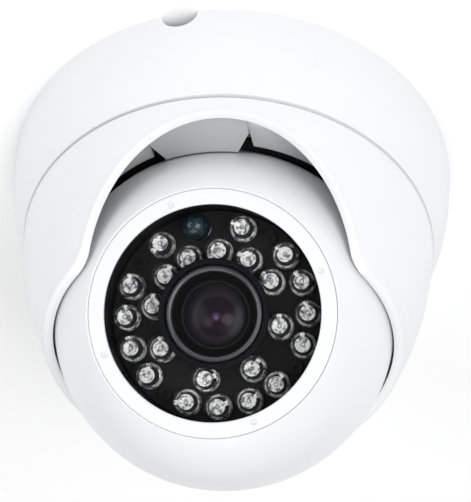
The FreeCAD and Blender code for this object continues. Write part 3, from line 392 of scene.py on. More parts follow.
def mottle(tree, shader, colour, darker, value):
    """Vary the colour between two shades by a value."""
    mix = add(tree, "ShaderNodeMix")
    mix.data_type = "RGBA"
    for socket in mix.inputs:
        if socket.type == "RGBA" and socket.name == "A":
            socket.default_value = (*darker, 1)
        if socket.type == "RGBA" and socket.name == "B":
            socket.default_value = (*colour, 1)
    tree.links.new(value, mix.inputs["Factor"])
    output = next(o for o in mix.outputs if o.type == "RGBA")
    tree.links.new(output, shader.inputs["Base Color"])


def bump(tree, shader, value, height):
    """Raise the surface by a value, to a height in metres."""
    made = add(tree, "ShaderNodeBump", Strength=1.0, Distance=height)
    tree.links.new(value, made.inputs["Height"])
    tree.links.new(made.outputs["Normal"], shader.inputs["Normal"])


def shades(colour, share):
    """A colour made darker by a share."""
    return tuple(c * (1 - share) for c in colour)


def plain_finish(name, colour, roughness, grain=1800.0, grain_height=0.004 * MM, metallic=0.0,
                 variation=0.03, roughness_spread=0.05, on_face=False, coat=0.0, specular=0.5,
                 patch=38.0):
    """A finish with fine grain, a slight change of shade and uneven gloss."""
    made, tree, shader = blank_material(name)
    shader.inputs["Metallic"].default_value = metallic
    shader.inputs["Coat Weight"].default_value = coat
    shader.inputs["Coat Roughness"].default_value = 0.08
    shader.inputs["Specular IOR Level"].default_value = specular
    wide = noise(tree, patch, on_face=on_face)
    mottle(tree, shader, colour, shades(colour, variation), spread(tree, wide, 0.0, 1.0))
    gloss = spread(tree, noise(tree, 160.0, on_face=on_face), roughness - roughness_spread,
                   roughness + roughness_spread)
    tree.links.new(gloss, shader.inputs["Roughness"])
    bump(tree, shader, noise(tree, grain, detail=2.0, on_face=on_face), grain_height)
    return made


def painted_sparkle_finish(name, bright, dark, scale, low, high, roughness=0.3, relief=0.15 * MM):
    """A bright finish broken by dark spots: painted reflections, the sparkle that a bright piece shows
    through a clear round body.
    """
    made, tree, shader = blank_material(name)
    sparkle_spots = noise(tree, scale, detail=3.0, on_face=True)
    share = add(tree, "ShaderNodeMapRange", From_Min=low, From_Max=high)
    tree.links.new(sparkle_spots, share.inputs["Value"])
    # painted reflections: noise sets bright and dark spots in the colour
    mottle(tree, shader, bright, dark, share.outputs["Result"])
    shader.inputs["Roughness"].default_value = roughness
    bump(tree, shader, sparkle_spots, relief)
    return made


def turned_metal(name, colour, roughness, pitch=0.12 * MM, depth=0.004 * MM, on_face=False,
                 metallic=1.0):
    """Metal with the fine rings that a lathe leaves."""
    made, tree, shader = blank_material(name)
    shader.inputs["Metallic"].default_value = metallic
    rings = add(tree, "ShaderNodeTexWave", Scale=1 / (20 * pitch), Distortion=1.2, Detail=2.0)
    rings.wave_type = "RINGS"
    rings.rings_direction = "Z"
    tree.links.new(object_place(tree, on_face), rings.inputs["Vector"])
    mottle(tree, shader, colour, shades(colour, 0.12), spread(tree, noise(tree, 60.0), 0.0, 1.0))
    gloss = spread(tree, noise(tree, 220.0), roughness - 0.05, roughness + 0.07)
    tree.links.new(gloss, shader.inputs["Roughness"])
    bump(tree, shader, rings.outputs["Fac"], depth)
    return made


def clear_finish(name, colour, alpha, roughness=0.04, on_face=True, specular=0.8):
    """A clear finish that lets straight light through, with uneven gloss."""
    made, tree, shader = blank_material(name)
    shader.inputs["Base Color"].default_value = (*colour, 1)
    shader.inputs["Alpha"].default_value = alpha
    shader.inputs["Specular IOR Level"].default_value = specular
    gloss = spread(tree, noise(tree, 300.0, on_face=on_face), roughness * 0.6, roughness * 1.6)
    tree.links.new(gloss, shader.inputs["Roughness"])
    return made


def make_materials():
    """All materials by name."""
    housing = settings("housing")
    face = settings("face")
    return {
        "white": plain_finish("white_housing", tuple(housing.white), housing.roughness,
                              grain=2600.0, grain_height=0.0025 * MM, variation=0.015, coat=0.15),
        "bezel": plain_finish("white_bezel", tuple(housing.bezel_white), 0.3, grain=2600.0,
                              grain_height=0.002 * MM, variation=0.012, coat=0.2),
        "ring": turned_metal("bright_ring", (0.82, 0.83, 0.84), 0.3, metallic=0.35),
        "plate": plain_finish("grey_plate", (0.52, 0.525, 0.53), 0.36, variation=0.05, metallic=0.25),
        "rubber": plain_finish("black_rubber", (0.008, 0.008, 0.009), 0.62, grain=900.0,
                               grain_height=0.01 * MM, variation=0.3, specular=0.2),
        "nylon": plain_finish("natural_nylon", (0.72, 0.71, 0.66), 0.5, variation=0.06),
        "steel": turned_metal("plated_steel", (0.55, 0.56, 0.57), 0.3, pitch=0.08 * MM, on_face=True),
        "brass": turned_metal("nickelled_brass", (0.66, 0.56, 0.36), 0.28, on_face=True),
        "board": plain_finish("black_board", (0.019, 0.018, 0.020), 0.42, grain=700.0, specular=0.15,
                              grain_height=0.01 * MM, variation=0.4, on_face=True),
        "green_board": plain_finish("green_board", (0.012, 0.11, 0.045), 0.36, grain=700.0,
                                    variation=0.25, on_face=True),
        "black_metal": plain_finish("black_anodised", (0.008, 0.008, 0.009), 0.42, grain=1500.0,
                                    variation=0.3, on_face=True, specular=0.22),
        "hood": plain_finish("matt_hood", (0.008, 0.008, 0.009), 0.7, grain=900.0,
                             grain_height=0.01 * MM, variation=0.3, specular=0.06),
        "lens_well": plain_finish("flocked_black", (0.004, 0.004, 0.0045), 0.6, grain=1500.0,
                                  variation=0.3, on_face=True, specular=0.06),
        "lens_rim": plain_finish("polished_black", (0.035, 0.035, 0.038), 0.3, grain=1500.0,
                                 grain_height=0.001 * MM, variation=0.1, on_face=True, specular=1.0),
        "window": clear_finish("clear_window", (0.01, 0.01, 0.012), 0.02),
        "epoxy": clear_finish("clear_epoxy", tuple(face.epoxy), 0.04, roughness=0.06),
        # painted reflections: the cups' bright and dark spots stand in for their sparkle through the
        # clear bodies
        "silver": painted_sparkle_finish("silvered_cup_painted_sparkle", tuple(face.silver), (0.12, 0.12, 0.13), 1250.0,
                                 0.38, 0.54),
        # painted reflections: bright rims stand in for the sparkle of the LEDs' clear flanges
        "rim": painted_sparkle_finish("painted_sparkle_rim", shades(tuple(face.silver), 0.05),
                              (0.06, 0.06, 0.065), 800.0, 0.40, 0.58, relief=0.3 * MM),
        "die": plain_finish("emitter_die", (0.30, 0.30, 0.31), 0.3, variation=0.2, on_face=True),
        "photocell": clear_finish("blue_epoxy", shades(tuple(face.photocell), 0.75), 0.6,
                                  roughness=0.12),
        "cell": plain_finish("photocell_chip", tuple(face.photocell), 0.35, patch=500.0,
                             variation=0.5, on_face=True),
        "socket": plain_finish("moulded_socket", (0.74, 0.72, 0.66), 0.45, variation=0.05),
        "sensor": plain_finish("sensor_package", (0.03, 0.045, 0.06), 0.12, variation=0.3),
        "glass": front_glass_painted(),
        "filter": clear_finish("filter_glass", (0.35, 0.5, 0.55), 0.5),
    }


def radius_share(tree, centre, reach):
    """How far a point is from a place on the lens's face, as a share of a reach: 0 there, 1 beyond."""
    flat = add(tree, "ShaderNodeVectorMath")
    flat.operation = "MULTIPLY"
    flat.inputs[1].default_value = (1, 1, 0)
    tree.links.new(object_place(tree, True, centre), flat.inputs[0])
    distance = add(tree, "ShaderNodeVectorMath")
    distance.operation = "LENGTH"
    tree.links.new(flat.outputs["Vector"], distance.inputs[0])
    share = add(tree, "ShaderNodeMapRange", From_Min=0.0, From_Max=reach)
    tree.links.new(distance.outputs["Value"], share.inputs["Value"])
    return share.outputs["Result"]


def ramp_of(tree, value, stops):
    """Colours along a value."""
    ramp = add(tree, "ShaderNodeValToRGB")
    ramp.color_ramp.elements[0].color = (*stops[0][1], 1)
    ramp.color_ramp.elements[1].color = (*stops[-1][1], 1)
    for position, colour in stops[1:-1]:
        ramp.color_ramp.elements.new(position).color = (*colour, 1)
    tree.links.new(value, ramp.inputs["Fac"])
    return ramp.outputs["Color"]


def lightened(tree, under, over):
    """One colour added to another."""
    mix = add(tree, "ShaderNodeMixRGB", Fac=1.0)
    mix.blend_type = "ADD"
    tree.links.new(under, mix.inputs["Color1"])
    tree.links.new(over, mix.inputs["Color2"])
    return mix.outputs["Color"]


def front_glass_painted():
    """Dark glass with painted light in its colour: the dark iris is partly the lens's black insides and
    partly painted shade, and the tint at its centre, the two tinted blobs and the bright spot are
    painted reflections of the inner lenses.
    """
    made, tree, shader = blank_material("coated_glass")
    shader.inputs["Specular IOR Level"].default_value = 0.12
    tint = tuple(settings("face").coating)
    black = (0, 0, 0)
    # painted shade: the iris is painted dark round the lens's centre, with a painted purple reflection
    # in the middle
    painted_iris = ramp_of(tree, radius_share(tree, (0, 0.3 * MM), lens_reach("lens_front_glass")),
                   ((0.0, tint), (0.07, tint), (0.17, shades(tint, 0.8)), (0.3, (0.014, 0.009, 0.016)),
                    (0.56, (0.011, 0.009, 0.013)), (0.62, (0.024, 0.022, 0.027)),
                    (1.0, (0.018, 0.017, 0.019))))
    # painted reflections of the inner lenses, as two tinted blobs
    warm_reflection = ramp_of(tree, radius_share(tree, (1.5 * MM, 1.4 * MM), 1.25 * MM),
                   ((0.0, (0.05, 0.026, 0.03)), (0.5, (0.03, 0.015, 0.018)), (1.0, black)))
    grey = ramp_of(tree, radius_share(tree, (-2.1 * MM, 0.9 * MM), 1.35 * MM),
                   ((0.0, (0.05, 0.04, 0.05)), (0.6, (0.038, 0.03, 0.038)), (1.0, black)))
    # painted highlight near the lens's centre
    painted_highlight = ramp_of(tree, radius_share(tree, (0, 0.5 * MM), 0.5 * MM),
                    ((0.0, (0.22, 0.17, 0.24)), (0.4, (0.07, 0.045, 0.085)), (1.0, black)))
    colour = lightened(tree, lightened(tree, lightened(tree, painted_iris, warm_reflection), grey), painted_highlight)
    tree.links.new(colour, shader.inputs["Base Color"])
    gloss = spread(tree, noise(tree, 90.0, on_face=True), 0.2, 0.3)
    tree.links.new(gloss, shader.inputs["Roughness"])
    return made


MATERIALS = {}


# ---- base ----
BASE_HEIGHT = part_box("base_housing")[1].z
BASE_RADIUS = upright_reach("base_housing")
CREASE_HEIGHT = 6.8 * MM
CREASE_DROP = 0.5 * MM
SEAM_DROP = 4.1 * MM          # how much narrower the base is at its top edge
BASE_WALL = 2.4 * MM
BASE_FLOOR = 2.6 * MM
BASE_BULGE = 0.55 * MM
DECK_THICKNESS = 2.5 * MM
TURN_BORE = 37.0 * MM
CABLE_HOLE = 11.0 * MM
COLLAR_WALL = 1.6 * MM
COLLAR_HEIGHT = 1.4 * MM
SIDE_NOTCH_WIDTH = 7.3 * MM
SIDE_NOTCH_HEIGHT = 3.9 * MM
SIDE_NOTCH_INNER = 36.0 * MM
SIDE_NOTCH_AZIMUTH = math.radians(11.4)
MOUNT_HOLE_CIRCLE = 33.0 * MM
MOUNT_HOLE_RADIUS = 2.25 * MM
MOUNT_HOLE_AZIMUTHS = [math.radians(30 + 120 * k) for k in range(3)]


def base_side(height):
    """Radius of the base's tapered side at a height."""
    share = (height - CREASE_HEIGHT) / (BASE_HEIGHT - CREASE_HEIGHT)
    top = BASE_RADIUS - SEAM_DROP
    crease = BASE_RADIUS - CREASE_DROP
    return crease + (top - crease) * share + BASE_BULGE * 4 * share * (1 - share)


def base_outline():
    """Section of the base."""
    rows = 10
    heights = [CREASE_HEIGHT + (BASE_HEIGHT - CREASE_HEIGHT) * k / rows for k in range(rows + 1)]
    deck = BASE_HEIGHT - DECK_THICKNESS
    outside = [(CABLE_HOLE, 0), (BASE_RADIUS, 0), (BASE_RADIUS - CREASE_DROP / 2, CREASE_HEIGHT / 2)]
    outside += [(base_side(z), z) for z in heights]
    inside = [(TURN_BORE, BASE_HEIGHT), (TURN_BORE, deck), (base_side(deck) - BASE_WALL, deck)]
    inside += [(base_side(z) - BASE_WALL, z) for z in reversed(heights) if z < deck - MM]
    inside += [(BASE_RADIUS - BASE_WALL, BASE_FLOOR),
               (CABLE_HOLE + COLLAR_WALL, BASE_FLOOR),
               (CABLE_HOLE + COLLAR_WALL, BASE_FLOOR + COLLAR_HEIGHT),
               (CABLE_HOLE, BASE_FLOOR + COLLAR_HEIGHT)]
    return outside + inside


def side_notch_cutter():
    """Arched cutter for the cable opening in the base's side."""
    half = SIDE_NOTCH_WIDTH / 2
    spring = SIDE_NOTCH_HEIGHT - half
    outer = BASE_RADIUS + 5 * MM
    arch = rod("arch", half, (0, -outer, spring), (0, -SIDE_NOTCH_INNER, spring))
    depth = outer - SIDE_NOTCH_INNER
    foot = box("foot", (SIDE_NOTCH_WIDTH, depth, spring + 5 * MM),
               (0, -(outer + SIDE_NOTCH_INNER) / 2, (spring - 5 * MM) / 2))
    apply_modifier(arch, "BOOLEAN", operation="UNION", solver="EXACT", object=foot)
    bpy.data.objects.remove(foot)
    return placed(arch, Matrix.Rotation(SIDE_NOTCH_AZIMUTH, 4, "Z"))


class DOMECAM_OT_base(bpy.types.Operator):
    """Model the base's shell with its floor, ledge, cable openings and mounting holes"""

    bl_idname = "domecam.base"
    bl_label = "Base"

    def execute(self, context):
        shell = spun("base_shell", base_outline())
        cutters = [side_notch_cutter()]
        for azimuth in MOUNT_HOLE_AZIMUTHS:
            x = MOUNT_HOLE_CIRCLE * math.sin(azimuth)
            y = -MOUNT_HOLE_CIRCLE * math.cos(azimuth)
            cutters.append(rod("drill", MOUNT_HOLE_RADIUS, (x, y, -MM), (x, y, BASE_FLOOR + MM), 48))
        cut(shell, *cutters)
        soften(shell, settings("housing").edge, angle=40)
        smooth(shell, 30)
        apply_modifier(shell, "WEIGHTED_NORMAL", keep_sharp=True)
        keep(shell, "base", MATERIALS["white"], ["base_housing"])
        dress(MATERIALS["nylon"], "slip_washer")
        return {"FINISHED"}


# ---- cover ----
COVER_LOW, COVER_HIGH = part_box("dome_cover")[0].z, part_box("dome_cover")[1].z
COVER_WALL = 1.8 * MM
COVER_SECTION = ((42.2 * MM, COVER_LOW), (40.2 * MM, 35.0 * MM), (35.5 * MM, COVER_HIGH))
LIP_ROUND = 0.6 * MM
LIP_ZONE = 2.4 * MM
NOTCH_RADIUS = ball_radius() - 7.34 * MM
NOTCH_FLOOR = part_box("stop_plate")[0].z + 3.0 * MM
NOTCH_SHOULDER = 3.0 * MM
LIP_CLEARANCE = 0.4 * MM      # eyeball to the opening's bore
MOST_STRETCH = 2.2            # of the lip along the notch's steep sides
DRILL_INSET = 4 * MM
DRILL_OUTSET = 6 * MM


def circle_through(points):
    """Centre and radius of the circle through three (radius, height) points."""
    (ax, ay), (bx, by), (cx, cy) = points
    d = 2 * (ax * (by - cy) + bx * (cy - ay) + cx * (ay - by))
    a, b, c = (x * x + y * y for x, y in points)
    ux = (a * (by - cy) + b * (cy - ay) + c * (ay - by)) / d
    uy = (a * (cx - bx) + b * (ax - cx) + c * (bx - ax)) / d
    return (ux, uy), math.hypot(ax - ux, ay - uy)


COVER_ARC_CENTRE, COVER_ARC_RADIUS = circle_through(COVER_SECTION)


def cover_side(height):
    """Radius of the cover's outside at a height."""
    rise = height - COVER_ARC_CENTRE[1]
    return COVER_ARC_CENTRE[0] + math.sqrt(COVER_ARC_RADIUS ** 2 - rise ** 2)


def notch_half_width(height):
    """Half the notch's width at a height: a trough with rounded shoulders."""
    centre = NOTCH_FLOOR + NOTCH_RADIUS
    shoulder = COVER_HIGH - NOTCH_SHOULDER
    span = NOTCH_RADIUS + NOTCH_SHOULDER
    side = math.sqrt(span ** 2 - (centre - shoulder) ** 2)
    touch = centre - (centre - shoulder) * NOTCH_RADIUS / span
    if height <= touch:
        return math.sqrt(max(0.0, NOTCH_RADIUS ** 2 - (centre - height) ** 2))
    return side - math.sqrt(max(0.0, NOTCH_SHOULDER ** 2 - (height - shoulder) ** 2))


def cover_edge(azimuth):
    """Height of the cover's top edge at an azimuth from the notch's middle."""
    if math.cos(azimuth) <= 0:
        return COVER_HIGH
    across = abs(math.sin(azimuth))
    low, high = NOTCH_FLOOR, COVER_HIGH
    if cover_side(high) * across >= notch_half_width(high):
        return COVER_HIGH
    for _ in range(40):
        middle = (low + high) / 2
        if cover_side(middle) * across > notch_half_width(middle):
            low = middle
        else:
            high = middle
    return (low + high) / 2


def cover_outline():
    """Section of the cover where it is full height, with a rounded lip."""
    rows = 16
    low, high = COVER_LOW, COVER_HIGH - LIP_ROUND
    heights = [low + (high - low) * k / rows for k in range(rows + 1)]
    outside = [(cover_side(z), z) for z in heights]
    edge = cover_side(COVER_HIGH - LIP_ROUND) - LIP_ROUND
    lip = arc((edge, COVER_HIGH - LIP_ROUND), LIP_ROUND, 18, 90, 5)
    reach = ball_radius() + LIP_CLEARANCE
    bore = math.sqrt(reach ** 2 - (COVER_HIGH - BALL_CENTRE.z) ** 2)
    lip += [(bore + 0.3 * MM, COVER_HIGH), (bore + 0.06 * MM, COVER_HIGH - 0.2 * MM)]
    zone = COVER_HIGH - LIP_ZONE
    lip += [(math.sqrt(reach ** 2 - (zone - BALL_CENTRE.z) ** 2), zone)]
    inside = [(cover_side(z) - COVER_WALL, z) for z in reversed(heights) if z < zone - MM]
    return outside + lip + inside


def lower_into_notch(obj):
    """Slide the cover's rows down so that its top edge follows the notch."""
    zone = COVER_HIGH - LIP_ZONE
    for vertex in obj.data.vertices:
        x, y, z = vertex.co
        azimuth = math.atan2(x, -y)
        top = cover_edge(azimuth)
        if top >= COVER_HIGH - 1e-7:
            continue
        depth = cover_side(z) - math.hypot(x, y)
        share = min(1, (COVER_HIGH - top) / LIP_ZONE)
        depth += (min(depth, COVER_WALL) - depth) * share
        step = 0.002
        slope = (cover_edge(azimuth + step) - cover_edge(azimuth - step)) / (
            2 * step * cover_side(top))
        stretch = min(math.sqrt(1 + slope * slope), MOST_STRETCH)
        stretch = min(stretch, 1 + (COVER_HIGH - top) / LIP_ZONE)
        if z >= zone:
            height = top - (COVER_HIGH - z) * stretch
        else:
            low_top = top - LIP_ZONE * stretch
            height = COVER_LOW + (z - COVER_LOW) * (low_top - COVER_LOW) / (zone - COVER_LOW)
        radius = cover_side(height) - depth
        vertex.co = (radius * math.sin(azimuth), -radius * math.cos(azimuth), height)


class DOMECAM_OT_cover(bpy.types.Operator):
    """Model the turning cover with its round opening, front notch and lock screw hole"""

    bl_idname = "domecam.cover"
    bl_label = "Cover"

    def execute(self, context):
        shell = spun("cover_shell", cover_outline(), steps=2 * settings("housing").steps)
        lower_into_notch(shell)
        soften(shell, 0.3 * MM, angle=55)
        screw_low, screw_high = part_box("cover_lock_screw")
        middle = (screw_low + screw_high) / 2
        radius = (screw_high.x - screw_low.x) / 2
        cut(shell, rod("drill", radius, (0, middle.y - DRILL_INSET, middle.z),
                       (0, middle.y + DRILL_OUTSET, middle.z), 48))
        smooth(shell, 40)
        keep(shell, "head", MATERIALS["white"], ["dome_cover"])
        dress(MATERIALS["steel"], "cover_lock_screw", "clamp_dogs", "clamp_screws",
              "stop_plate_rivets")
        dress(MATERIALS["ring"], "pan_ring")
        dress(MATERIALS["rubber"], "friction_ring")
        dress(MATERIALS["plate"], "stop_plate")
        return {"FINISHED"}


# ---- eyeball ----
BALL_WALL = 2.24 * MM
ROLL_GAP = 0.04 * MM          # bezel to the shell's bore, as it looks
SEAT_GAP = 0.1 * MM           # bezel's back to its seat
SEAT_THICKNESS = 2 * MM
MOUTH_WIDTH = 0.36 * MM       # rounded land round the bore
GROMMET_FLANGE = 1.5 * MM     # how far the grommet laps over its hole
SCREW_CIRCLE = ball_radius() - 6.54 * MM
SCREW_SINK_RADIUS = 2.9 * MM
SCREW_HEAD_HEIGHT = 1.6 * MM


def ball_points(radius, start, end, count):
    """Points on the eyeball's section; angles in degrees from the lens axis."""
    turns = [math.radians(start + (end - start) * k / count) for k in range(count + 1)]
    return [(radius * math.sin(t), radius * math.cos(t)) for t in turns]


class DOMECAM_OT_eyeball(bpy.types.Operator):
    """Model the eyeball's two shells"""

    bl_idname = "domecam.eyeball"
    bl_label = "Eyeball"

    def execute(self, context):
        radius = ball_radius()
        inner = radius - BALL_WALL
        front = lens_span("ball_front_shell")[1]
        bore = lens_reach("bezel_ring") + ROLL_GAP
        seat_top = lens_span("bezel_ring")[0] - SEAT_GAP
        seat_bottom = seat_top - SEAT_THICKNESS
        seat_bore = lens_bore("ball_front_shell")
        mouth = bore + MOUTH_WIDTH
        start = math.degrees(math.asin(mouth / radius))
        inner_start = math.degrees(math.acos(seat_bottom / inner))
        outline = ball_points(radius, 90, start, 32)
        outline += [(bore + 0.15 * MM, front - 0.03 * MM), (bore + 0.04 * MM, front - 0.12 * MM),
                    (bore, front - 0.3 * MM),
                    (bore, seat_top), (seat_bore, seat_top),
                    (seat_bore, seat_bottom)]
        outline += ball_points(inner, inner_start, 90, 12)
        shell = smooth(spun("eyeball_front", outline), 30)
        placed(shell, LENS_FRAME)
        keep(shell, "eyeball", MATERIALS["white"], ["ball_front_shell"])
        outlet = lens_reach("cable_grommet") - GROMMET_FLANGE
        pole = 180 - math.degrees(math.asin(outlet / radius))
        inner_pole = 180 - math.degrees(math.asin(outlet / inner))
        outline = ball_points(radius, 90, pole, 32) + ball_points(inner, inner_pole, 90, 12)
        rear = spun("eyeball_rear", outline)
        sink = lens_span("shell_screws")[0] + SCREW_HEAD_HEIGHT
        for x, y in (face_place(SCREW_CIRCLE, 120 * k) for k in range(3)):
            cut(rear, rod("sink", SCREW_SINK_RADIUS, (x, y, -radius), (x, y, sink), 48))
        smooth(rear, 30)
        placed(rear, LENS_FRAME)
        keep(rear, "eyeball", MATERIALS["white"], ["ball_rear_shell"])
        dress(MATERIALS["rubber"], "shell_gasket", "cable_grommet")
        dress(MATERIALS["steel"], "shell_screws")
        return {"FINISHED"}


# ---- face ----
BEZEL_EDGE = 0.35 * MM
PIN_CIRCLE = 21.9 * MM
PIN_RADIUS = 0.62 * MM
PIN_DEPTH = 0.3 * MM
PIN_FIRST_ANGLE = 71
WINDOW_EDGE = 0.2 * MM        # chamfer on the window's back
WINDOW_INSET = 0.01 * MM      # keeps the window's faces off the bezel's


class DOMECAM_OT_bezel(bpy.types.Operator):
    """Model the bezel with its spanner holes, and the window"""

    bl_idname = "domecam.bezel"
    bl_label = "Bezel and window"

    def execute(self, context):
        low, high = lens_span("bezel_ring")
        radius = lens_reach("bezel_ring")
        view = lens_bore("bezel_ring")
        window_low, window_high = lens_span("window")
        pocket = lens_reach("window")
        edge = BEZEL_EDGE
        outline = [(pocket, low), (radius, low)]
        outline += arc((radius - edge, high - edge), edge, 0, 90, 4)
        outline += arc((view + edge, high - edge), edge, 90, 180, 4)
        outline += [(view, window_high), (pocket, window_high)]
        ring = spun("bezel", outline)
        for k in range(4):
            x, y = face_place(PIN_CIRCLE, PIN_FIRST_ANGLE + 90 * k)
            cut(ring, rod("pin_hole", PIN_RADIUS, (x, y, high - PIN_DEPTH), (x, y, high + MM), 32))
        smooth(ring, 30)
        placed(ring, LENS_FRAME)
        keep(ring, "camera", MATERIALS["bezel"], ["bezel_ring"])
        rim = pocket - WINDOW_INSET
        face = window_high - WINDOW_INSET
        pane = spun("window_pane", [(0, window_low), (pocket - WINDOW_EDGE, window_low),
                                    (rim, window_low + WINDOW_EDGE), (rim, face), (0, face)],
                    steps=128)
        smooth(pane, 30)
        placed(pane, LENS_FRAME)
        keep(pane, "camera", MATERIALS["window"], ["window"])
        dress(MATERIALS["rubber"], "window_seal")
        return {"FINISHED"}


# ---- LEDs ----
OUTER_LED_RING = 17.6 * MM
OUTER_LED_TABS = {51: 315, 71: 330, 91: 350, 111: 0, 141: 35, 161: 60, 181: 70, 201: 270,
                  231: 10, 251: 345, 271: 0, 291: 0, 324: 225, 18.5: 300}
INNER_LED_RING = 12.4 * MM
INNER_LED_TABS = {4: 235, 32: 300, 60.5: 315, 102: 0, 148: 40, 192: 75, 241: 0, 280.5: 5,
                  309.5: 30, 336: 215}


LED_RADIUS = 2.5 * MM
LED_FLANGE = 2.7 * MM
CUP_HEIGHT = 3.2 * MM         # of the reflector's foot over the board
CUP_FLOOR = 0.85 * MM
PHOTOCELL_ANGLE = 349
CHIP_SIZE = (2.9 * MM, 3.3 * MM, 0.5 * MM)
CHIP_HEIGHT = 4.0 * MM


def led_places(ring, tabs):
    """Matrices that put an LED modelled on the axis at its place, turned to its tab."""
    made = []
    for angle, tab in tabs.items():
        x, y = face_place(ring, angle)
        turn = Matrix.Rotation(math.radians(-tab), 4, "Z")
        made.append(Matrix.Translation((x, y, 0)) @ turn)
    return made


def led_body(name, radius, flange, low, high):
    """A round-nosed LED body on its flange, on the axis."""
    nose = high - radius
    outline = [(0, low), (flange, low), (flange, low + 0.9 * MM), (radius, low + MM)]
    outline += [(radius, nose)]
    outline += arc((0, nose), radius, 9, 90, 9)[:-1] + [(0, high)]
    return spun(name, outline, steps=32)


def led_cup(low):
    """Reflector cup with its post's tab towards -Y, on the axis."""
    radius = settings("face").cup_radius
    cup = spun("cup", [(0, low), (radius * 0.9, low), (radius, low + 1.2 * MM),
                       (radius * 0.86, low + 1.25 * MM), (radius * 0.4, low + CUP_FLOOR),
                       (0, low + CUP_FLOOR)], steps=28)
    tab = box("tab", (0.8 * MM, 0.8 * MM, 0.7 * MM), (0, -radius - 0.15 * MM, low + 0.95 * MM))
    tip = box("tip", (1.0 * MM, 0.6 * MM, 0.8 * MM), (0, -radius - 0.5 * MM, low + 0.95 * MM))
    foot = lens_span("ir_leds_outer")[0] + 0.2 * MM
    post = box("post", (0.5 * MM, 0.5 * MM, low - foot),
               (0, -radius - 0.35 * MM, (low + foot) / 2))
    return joined("cup", [cup, soften(tab, 0.12 * MM), soften(tip, 0.15 * MM), post])


def led_sparkle_rim(low):
    """Ring inside an LED's clear skirt, on the axis: a painted reflection, a bright piece put where the
    skirt's flange only sparkles.
    """
    section = ((1.9, 0), (2.6, 0), (2.6, 0.55), (2.4, 0.8), (2.4, 1.5), (2.1, 1.7), (1.9, 1.0))
    return spun("rim", [(r * MM, low + z * MM) for r, z in section], steps=28)


def led_die(low):
    """Ring that the emitter makes on the cup's floor, on the axis."""
    section = ((0.3, 0), (0.46, 0), (0.46, 0.1), (0.3, 0.1))
    return spun("die", [(r * MM, low + z * MM) for r, z in section], steps=20)


class DOMECAM_OT_leds(bpy.types.Operator):
    """Model the infrared LEDs: clear bodies, reflector cups and dies"""

    bl_idname = "domecam.leds"
    bl_label = "Infrared LEDs"

    def execute(self, context):
        low, high = lens_span("ir_leds_outer")
        for ring, tabs, node in ((OUTER_LED_RING, OUTER_LED_TABS, "ir_leds_outer"),
                                 (INNER_LED_RING, INNER_LED_TABS, "ir_leds_inner")):
            kind = node.split("_")[-1]
            places = led_places(ring, tabs)
            bodies = copies(smooth(led_body("led", LED_RADIUS, LED_FLANGE, low, high), 35), places,
                            "led_bodies_" + kind)
            placed(bodies, LENS_FRAME)
            keep(bodies, "camera", MATERIALS["epoxy"], [node])
            cups = copies(smooth(led_cup(low + CUP_HEIGHT), 35), places, "led_cups_" + kind)
            placed(cups, LENS_FRAME)
            keep(cups, "camera", MATERIALS["silver"])
            # painted reflection: a bright ring in each LED's skirt
            sparkle_rims = copies(smooth(led_sparkle_rim(low + 0.2 * MM), 50), places, "led_sparkle_rims_" + kind)
            placed(sparkle_rims, LENS_FRAME)
            keep(sparkle_rims, "camera", MATERIALS["rim"])
            die = led_die(low + CUP_HEIGHT + CUP_FLOOR)
            dies = copies(smooth(die, 35), places, "led_dies_" + kind)
            placed(dies, LENS_FRAME)
            keep(dies, "camera", MATERIALS["die"])
        x, y = face_place(OUTER_LED_RING, PHOTOCELL_ANGLE)
        chip = box("photocell_chip", CHIP_SIZE, (x, y, low + CHIP_HEIGHT))
        placed(smooth(soften(chip, 0.15 * MM), 40), LENS_FRAME)
        keep(chip, "camera", MATERIALS["cell"])
        cell = led_body("photocell_body", LED_RADIUS, LED_FLANGE, low, high)
        placed(smooth(cell, 35), LENS_FRAME @ Matrix.Translation((x, y, 0)))
        keep(cell, "camera", MATERIALS["photocell"], ["photocell"])
        dress(MATERIALS["board"], "led_board")
        dress(MATERIALS["black_metal"], "led_board_screws")
        return {"FINISHED"}


# ---- lens ----
HOOD_WALL = 0.5 * MM
HOOD_STEP = 1.9 * MM          # below the lens's front, where the hood widens
LIP_PROUD = 0.4 * MM          # of the lens's lip over its head
LIP_HEIGHT = 1.8 * MM
RING_HEIGHT = 1.2 * MM        # of the rounded front ring
CONE_INSET = 1.3 * MM
CONE_DROP = 0.8 * MM
CONE_BOTTOM = 3.3 * MM
CONE_GROOVES = 3
GROOVE_STEP = 0.05 * MM
THREAD_RADIUS = 6.0 * MM
HEAD_LENGTH = 6.7 * MM
GLASS_CROWN = 1.3 * MM


